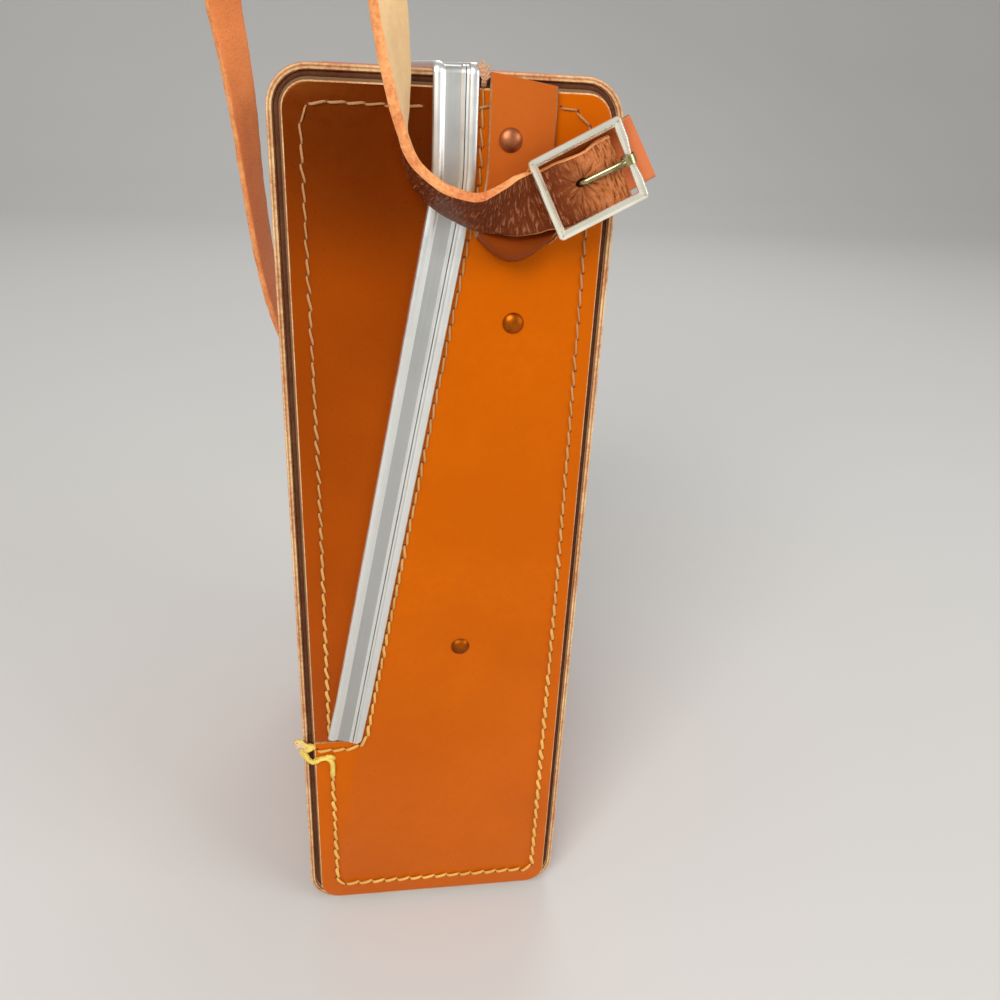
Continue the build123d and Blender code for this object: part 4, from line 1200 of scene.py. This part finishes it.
def build_strap():
    """The shoulder strap: wrinkled grain outside, pale flesh inside, raw cut edges."""
    sizes = bpy.context.scene.camera_case_sizes
    width, thick = sizes.strap_width / MM, sizes.strap_leather / MM
    near = [on_buckle(reach, -STRAP_MIDDLE) for reach in (9.0, -1.0, -12.3)]
    far = [on_buckle(reach, STRAP_MIDDLE) for reach in (-11.3, -1.0, 8.6)]
    places = near + [Vector(row[:3]) for row in STRAP_ROUTE] + far
    edges = [ACROSS] * 3 + [Vector(row[3:]).normalized() for row in STRAP_ROUTE] + [ACROSS] * 3
    line = smooth_line(places, 8)
    sides = [e.normalized() for e in smooth_line(edges, 8)]
    ring, slots = leather_section(width, thick, 0.12)
    shape = bmesh.new()
    sweep(shape, ring, band_stations(line, sides), slots)
    index_of, travelled = shape.verts.layers.int["side"], shape.verts.layers.float["way"]
    for vert in shape.verts:
        u, way = ring[vert[index_of]][0] / (width / 2), vert[travelled]
        vert.co += noise.noise_vector(vert.co * 0.22) * 0.3
        held = clamp(1.6 * (1 - abs(way - 8) / 15))
        bend_lift = 1.15 * math.exp(-((way - 31) / 8) ** 2)
        # Under the buckle the lower edge spreads beneath the frame
        spread = 1.7 * held * max(0.0, -u)
        vert.co += ACROSS * (0.4 * held * math.sin(way * 0.55) - 0.8 * held - spread + bend_lift)
    hole = bmesh.new()
    middle = on_buckle(HOLE_REACH, -STRAP_MIDDLE)
    bmesh.ops.create_cone(hole, cap_ends=True, segments=24, radius1=1.05, radius2=1.05, depth=8,
                          matrix=place_at(middle, ALONG, ACROSS, (0, -1, 0), 1.6, 1.0))
    piece = settle(shape, "shoulder_strap_leather", "case_body",
                   ["strap_hide", "strap_edge", "flesh_leather"], ["shoulder_strap"],
                   sharp=50)
    pierce(piece, hole)


def build_buckle():
    """The buckle: a flat frame bevelled towards its window, drawn thinner where the prong turns on it."""
    long, high, corner, thin = 12.8, 10.8, 1.0, 0.74
    outline = [(long - 0.2, -1.8, 0.0, thin), (long - 0.2, 1.8, 0.0, thin), (long, 5.2, 0.0, 1.0)]
    for right, up, first in ((1, 1, 0), (-1, 1, 90), (-1, -1, 180), (1, -1, 270)):
        centre = (right * (long - corner), up * (high - corner))
        outline += [(x, z, angle, 1.0) for x, z, angle in corner_run(centre, corner, first, first + 90, 4)]
    outline.append((long, -5.2, 0.0, 1.0))
    stations = []
    centre = on_buckle(0, -BUCKLE_MIDDLE)
    for x, z, angle, size in outline:
        inward = -(ALONG * math.cos(angle) + ACROSS * math.sin(angle))
        way = -ALONG * math.sin(angle) + ACROSS * math.cos(angle)
        middle = centre + ALONG * x + ACROSS * z + inward * 1.1
        stations.append(place_at(middle, inward, (0, -1, 0), way, size, size))
    profile = [(-1.15, -0.6), (-1.15, 0.6), (-0.85, 0.95), (-0.65, 1.0), (0.15, 1.0), (0.95, 0.2),
               (1.1, -0.3), (0.95, -0.9), (0.7, -1.0), (-0.75, -1.0)]
    shape = bmesh.new()
    sweep(shape, profile, stations, [0] * len(profile), closed=True)
    settle(shape, "buckle_nickel", "case_body", ["worn_nickel"], ["buckle_frame"], sharp=24)

    shape = bmesh.new()
    pivot = on_buckle(PIVOT_REACH, -BUCKLE_MIDDLE)
    rim = [(0.0, 1.05), (0.55, 1.15), (1.1, 1.6), (1.15, 1.85), (0.6, 1.9), (-0.6, 1.9), (-1.15, 1.85),
           (-1.1, 1.6), (-0.55, 1.15)]
    verts = [shape.verts.new(pivot + ACROSS * a - ALONG * r) for a, r in rim]
    loop = [shape.edges.new((verts[i], verts[(i + 1) % len(verts)])) for i in range(len(verts))]
    bmesh.ops.spin(shape, geom=verts + loop, cent=pivot, axis=ACROSS, angle=math.tau, steps=28,
                   use_merge=True)
    bmesh.ops.remove_doubles(shape, verts=shape.verts, dist=0.001)
    path = [(1.2, 0.75), (2.6, 1.15), (5.0, 0.95), (8.0, 0.5), (10.8, 0.2), (12.4, -0.1), (13.2, -1.0),
            (13.25, -2.2), (12.9, -3.6), (12.5, -4.6)]
    places = smooth_line([pivot - ALONG * s + Vector((0, -h, 0)) for s, h in path], 4)
    count = len(places) - 1
    wide = [1.0 - 0.34 * (index / count) ** 1.5 for index in range(count + 1)]
    stations = band_stations(places, [ACROSS] * len(places), wide)
    sweep(shape, [(0.85 * u, 0.7 * v) for u, v in round_section(1.0, 12)], stations, [0] * 12)
    settle(shape, "buckle_prong_nickel", "prong", ["tarnished_nickel"], ["buckle_prong"], sharp=40)


def build_latch():
    """The release button: a bevelled thumb piece with grip grooves."""
    low, high = (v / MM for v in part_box("release_button"))
    middle, grooves = (high + low) / 2, (-2.4, -0.8, 0.8, 2.4)
    shape = block(middle, high - low)
    upright = [e for e in shape.edges if abs(e.verts[0].co.z - e.verts[1].co.z) > 1]
    bmesh.ops.bevel(shape, geom=upright, offset=1.2, affect="EDGES", segments=5, profile=0.5, material=-1)
    for shift in grooves:
        for edge in (-0.3, 0.3):
            bmesh.ops.bisect_plane(shape, geom=shape.verts[:] + shape.edges[:] + shape.faces[:],
                                   plane_co=(0, middle.y + shift + edge, 0), plane_no=(0, 1, 0))
    top = [f for f in shape.faces if f.normal.z > 0.9
           and any(abs(f.calc_center_median().y - middle.y - s) < 0.1 for s in grooves)]
    if len(top) != len(grooves):
        raise RuntimeError("the button's grooves are missing")
    bmesh.ops.inset_individual(shape, faces=top, thickness=0.12, depth=-0.35)
    rim = [e for e in shape.edges if all(abs(v.co.z - high.z) < 0.01 for v in e.verts)
           and len(e.link_faces) == 2 and e.calc_face_angle(0) > 0.9]
    bmesh.ops.bevel(shape, geom=rim, offset=0.15, affect="EDGES", segments=2, profile=0.5, material=-1)
    settle(shape, "release_button_nickel", "release", ["worn_nickel"], ["release_button"], sharp=30)


def build_spring():
    """The flat folded spring behind the bolt."""
    low, high = (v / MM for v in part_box("bolt_spring"))
    half, folds, sheet = (high.z - low.z) / 2, 5, 0.4
    middle = (low.z + high.z) / 2
    points = []
    for step in range(folds + 1):
        x = high.x - 0.3 if step % 2 else low.x + 0.3
        points.append(Vector((x, low.y + sheet / 2 + (high.y - low.y - sheet) * step / folds, middle)))
    line = bent(points, 0.4)
    shape = bmesh.new()
    leaf = [(-half, -sheet / 2), (-half, sheet / 2), (half, sheet / 2), (half, -sheet / 2)]
    sweep(shape, leaf, band_stations(line, [Vector((0, 0, 1))] * len(line)), [0] * 4)
    piece = settle(shape, "bolt_spring_leaf", "case_body", ["plain_steel"], ["bolt_spring"],
                   sharp=30)
    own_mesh(piece)


def dress_frame():
    """Finishes of the pieces whose own shape is right."""
    plan = {
        "brushed_cloth": ["body_lining", "lid_lining", "divider"],
        "pressed_board": [f"{half}_end_board_{end}" for half in BODIES for end in ENDS],
        "dull_copper": ["divider_washers", "lug_washers"],
        "worn_nickel": ["catch_plate", "catch_rivets", "latch_hook", "hook_rivets"],
        "plain_steel": ["catch_box", "release_bolt"],
    }
    for material, nodes in plan.items():
        for name in nodes:
            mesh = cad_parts[name].data
            mesh.materials.clear()
            mesh.materials.append(bpy.data.materials[material])


def add_light(name, place, aim, size, watts, colour):
    """A soft square lamp, turned to a point."""
    data = bpy.data.lights.new(name, "AREA")
    data.shape = "SQUARE"
    data.size = size
    data.energy = watts
    data.color = colour
    lamp = link(name, data)
    lamp.location = place
    lamp.rotation_mode = "QUATERNION"
    lamp.rotation_quaternion = (Vector(aim) - Vector(place)).to_track_quat("-Z", "Y")


def build_camera():
    """The camera where the photograph was taken from."""
    data = bpy.data.cameras.new("camera")
    data.lens = LENS
    data.sensor_width = SENSOR
    data.clip_start = 0.01
    camera = link("camera", data)
    camera.location = CAMERA_PLACE
    camera.rotation_euler = [math.radians(v) for v in CAMERA_TURN]
    bpy.context.scene.camera = camera


def build_stage():
    """Plain pale floor that curves up into a backdrop, with soft studio light."""
    shape = bmesh.new()
    width, front, back, curve, top = 8.0, -3.0, 1.6, 0.8, 3.0
    line = [(front, 0.0), (back, 0.0)]
    turns = (0.3, 0.6, 0.9, 1.2, math.pi / 2)
    line += [(back + curve * math.sin(turn), curve - curve * math.cos(turn)) for turn in turns]
    line.append((back + curve, top))
    verts = [shape.verts.new((-width / 2, y, z)) for y, z in line]
    edges = [shape.edges.new(pair) for pair in zip(verts, verts[1:])]
    made = bmesh.ops.extrude_edge_only(shape, edges=edges)["geom"]
    bmesh.ops.translate(shape, vec=(width, 0, 0), verts=only(bmesh.types.BMVert, made))
    mesh = mesh_of(shape, "floor")
    mesh.materials.append(bpy.data.materials["plain_floor"])
    mesh.shade_smooth()
    link("floor", mesh)
    target = (0, 0, 0.15)
    add_light("key", (-0.55, -1.15, 1.05), target, 0.8, 18, (1.0, 0.98, 0.95))
    add_light("fill", (1.1, -0.8, 0.6), target, 0.8, 7, (0.96, 0.98, 1.0))
    add_light("back", (0.3, 1.3, 1.5), target, 0.9, 9, (1.0, 1.0, 1.0))
    world = bpy.data.worlds.new("studio")
    world.use_nodes = True
    bpy.context.scene.world = world
    ground = world.node_tree.nodes["Background"]
    ground.inputs["Color"].default_value = linear("#F2F2F2")
    ground.inputs["Strength"].default_value = 0.55
    bpy.context.scene.view_settings.view_transform = "Standard"


def make(build):
    """Run one builder with the finishes in place."""
    finishes()
    build()
    return {"FINISHED"}


class CASE_OT_camera(bpy.types.Operator):
    """Place the camera."""

    bl_idname = "camera_case.camera"
    bl_label = "Camera"
    bl_options = {"REGISTER", "UNDO"}

    def execute(self, context):
        return make(build_camera)


class CASE_OT_wraps(bpy.types.Operator):
    """Build the leather wraps, the hinge leather and the shells."""

    bl_idname = "camera_case.wraps"
    bl_label = "Wraps"
    bl_options = {"REGISTER", "UNDO"}

    def execute(self, context):
        return make(build_wraps)


class CASE_OT_panels(bpy.types.Operator):
    """Build the sewn end panels."""

    bl_idname = "camera_case.panels"
    bl_label = "End panels"
    bl_options = {"REGISTER", "UNDO"}

    def execute(self, context):
        return make(build_panels)


class CASE_OT_trim(bpy.types.Operator):
    """Build the aluminium trim."""

    bl_idname = "camera_case.trim"
    bl_label = "Trim"
    bl_options = {"REGISTER", "UNDO"}

    def execute(self, context):
        return make(build_trim)


class CASE_OT_stitches(bpy.types.Operator):
    """Build the seams."""

    bl_idname = "camera_case.stitches"
    bl_label = "Stitches"
    bl_options = {"REGISTER", "UNDO"}

    def execute(self, context):
        return make(build_stitches)


class CASE_OT_knot(bpy.types.Operator):
    """Build the knot at the hinge."""

    bl_idname = "camera_case.knot"
    bl_label = "Knot"
    bl_options = {"REGISTER", "UNDO"}

    def execute(self, context):
        return make(build_knot)


class CASE_OT_rivets(bpy.types.Operator):
    """Build the copper rivets."""

    bl_idname = "camera_case.rivets"
    bl_label = "Rivets"
    bl_options = {"REGISTER", "UNDO"}

    def execute(self, context):
        return make(build_rivets)


class CASE_OT_lugs(bpy.types.Operator):
    """Build the folded strap lugs."""

    bl_idname = "camera_case.lugs"
    bl_label = "Strap lugs"
    bl_options = {"REGISTER", "UNDO"}

    def execute(self, context):
        return make(build_lugs)


class CASE_OT_strap(bpy.types.Operator):
    """Build the shoulder strap."""

    bl_idname = "camera_case.strap"
    bl_label = "Shoulder strap"
    bl_options = {"REGISTER", "UNDO"}

    def execute(self, context):
        return make(build_strap)


class CASE_OT_buckle(bpy.types.Operator):
    """Build the buckle and its prong."""

    bl_idname = "camera_case.buckle"
    bl_label = "Buckle"
    bl_options = {"REGISTER", "UNDO"}

    def execute(self, context):
        return make(build_buckle)


class CASE_OT_latch(bpy.types.Operator):
    """Build the release button."""

    bl_idname = "camera_case.latch"
    bl_label = "Latch"
    bl_options = {"REGISTER", "UNDO"}

    def execute(self, context):
        return make(build_latch)


class CASE_OT_spring(bpy.types.Operator):
    """Build the folded spring behind the bolt."""

    bl_idname = "camera_case.spring"
    bl_label = "Bolt spring"
    bl_options = {"REGISTER", "UNDO"}

    def execute(self, context):
        return make(build_spring)


class CASE_OT_inside(bpy.types.Operator):
    """Finish the lining, boards and latch parts."""

    bl_idname = "camera_case.inside"
    bl_label = "Inside"
    bl_options = {"REGISTER", "UNDO"}

    def execute(self, context):
        return make(dress_frame)


class CASE_OT_stage(bpy.types.Operator):
    """Build the floor, the lights and the backdrop."""

    bl_idname = "camera_case.stage"
    bl_label = "Stage"
    bl_options = {"REGISTER", "UNDO"}

    def execute(self, context):
        return make(build_stage)


OPERATORS = [
    CASE_OT_camera, CASE_OT_wraps, CASE_OT_panels, CASE_OT_trim, CASE_OT_stitches, CASE_OT_knot,
    CASE_OT_rivets, CASE_OT_lugs, CASE_OT_strap, CASE_OT_buckle, CASE_OT_latch, CASE_OT_spring,
    CASE_OT_inside, CASE_OT_stage,
]


class CASE_PT_panel(bpy.types.Panel):
    """Sizes, colours and makers of the camera case."""

    bl_label = "Camera case"
    bl_idname = "CASE_PT_panel"
    bl_space_type = "VIEW_3D"
    bl_region_type = "UI"
    bl_category = "Camera case"

    def draw(self, context):
        column = self.layout.column()
        for group in (context.scene.camera_case_sizes, context.scene.camera_case_colours):
            for name in group.bl_rna.properties.keys():
                if name not in ("rna_type", "name"):
                    column.prop(group, name)
        for each in OPERATORS:
            column.operator(each.bl_idname)


CLASSES = [CameraCaseSizes, CameraCaseColours, *OPERATORS, CASE_PT_panel]


def register():
    """Register the classes and the scene's settings."""
    for each in CLASSES:
        bpy.utils.register_class(each)
    bpy.types.Scene.camera_case_sizes = bpy.props.PointerProperty(type=CameraCaseSizes)
    bpy.types.Scene.camera_case_colours = bpy.props.PointerProperty(type=CameraCaseColours)


def unregister():
    """Take the classes and the settings away again."""
    del bpy.types.Scene.camera_case_colours
    del bpy.types.Scene.camera_case_sizes
    for each in reversed(CLASSES):
        bpy.utils.unregister_class(each)


def main():
    """Build the whole case."""
    register()
    for each in OPERATORS:
        name = each.bl_idname.split(".")[1]
        result = getattr(bpy.ops.camera_case, name)()
        if result != {"FINISHED"}:
            raise RuntimeError(f"{name} didn't finish")


if __name__ == "__main__":
    main()
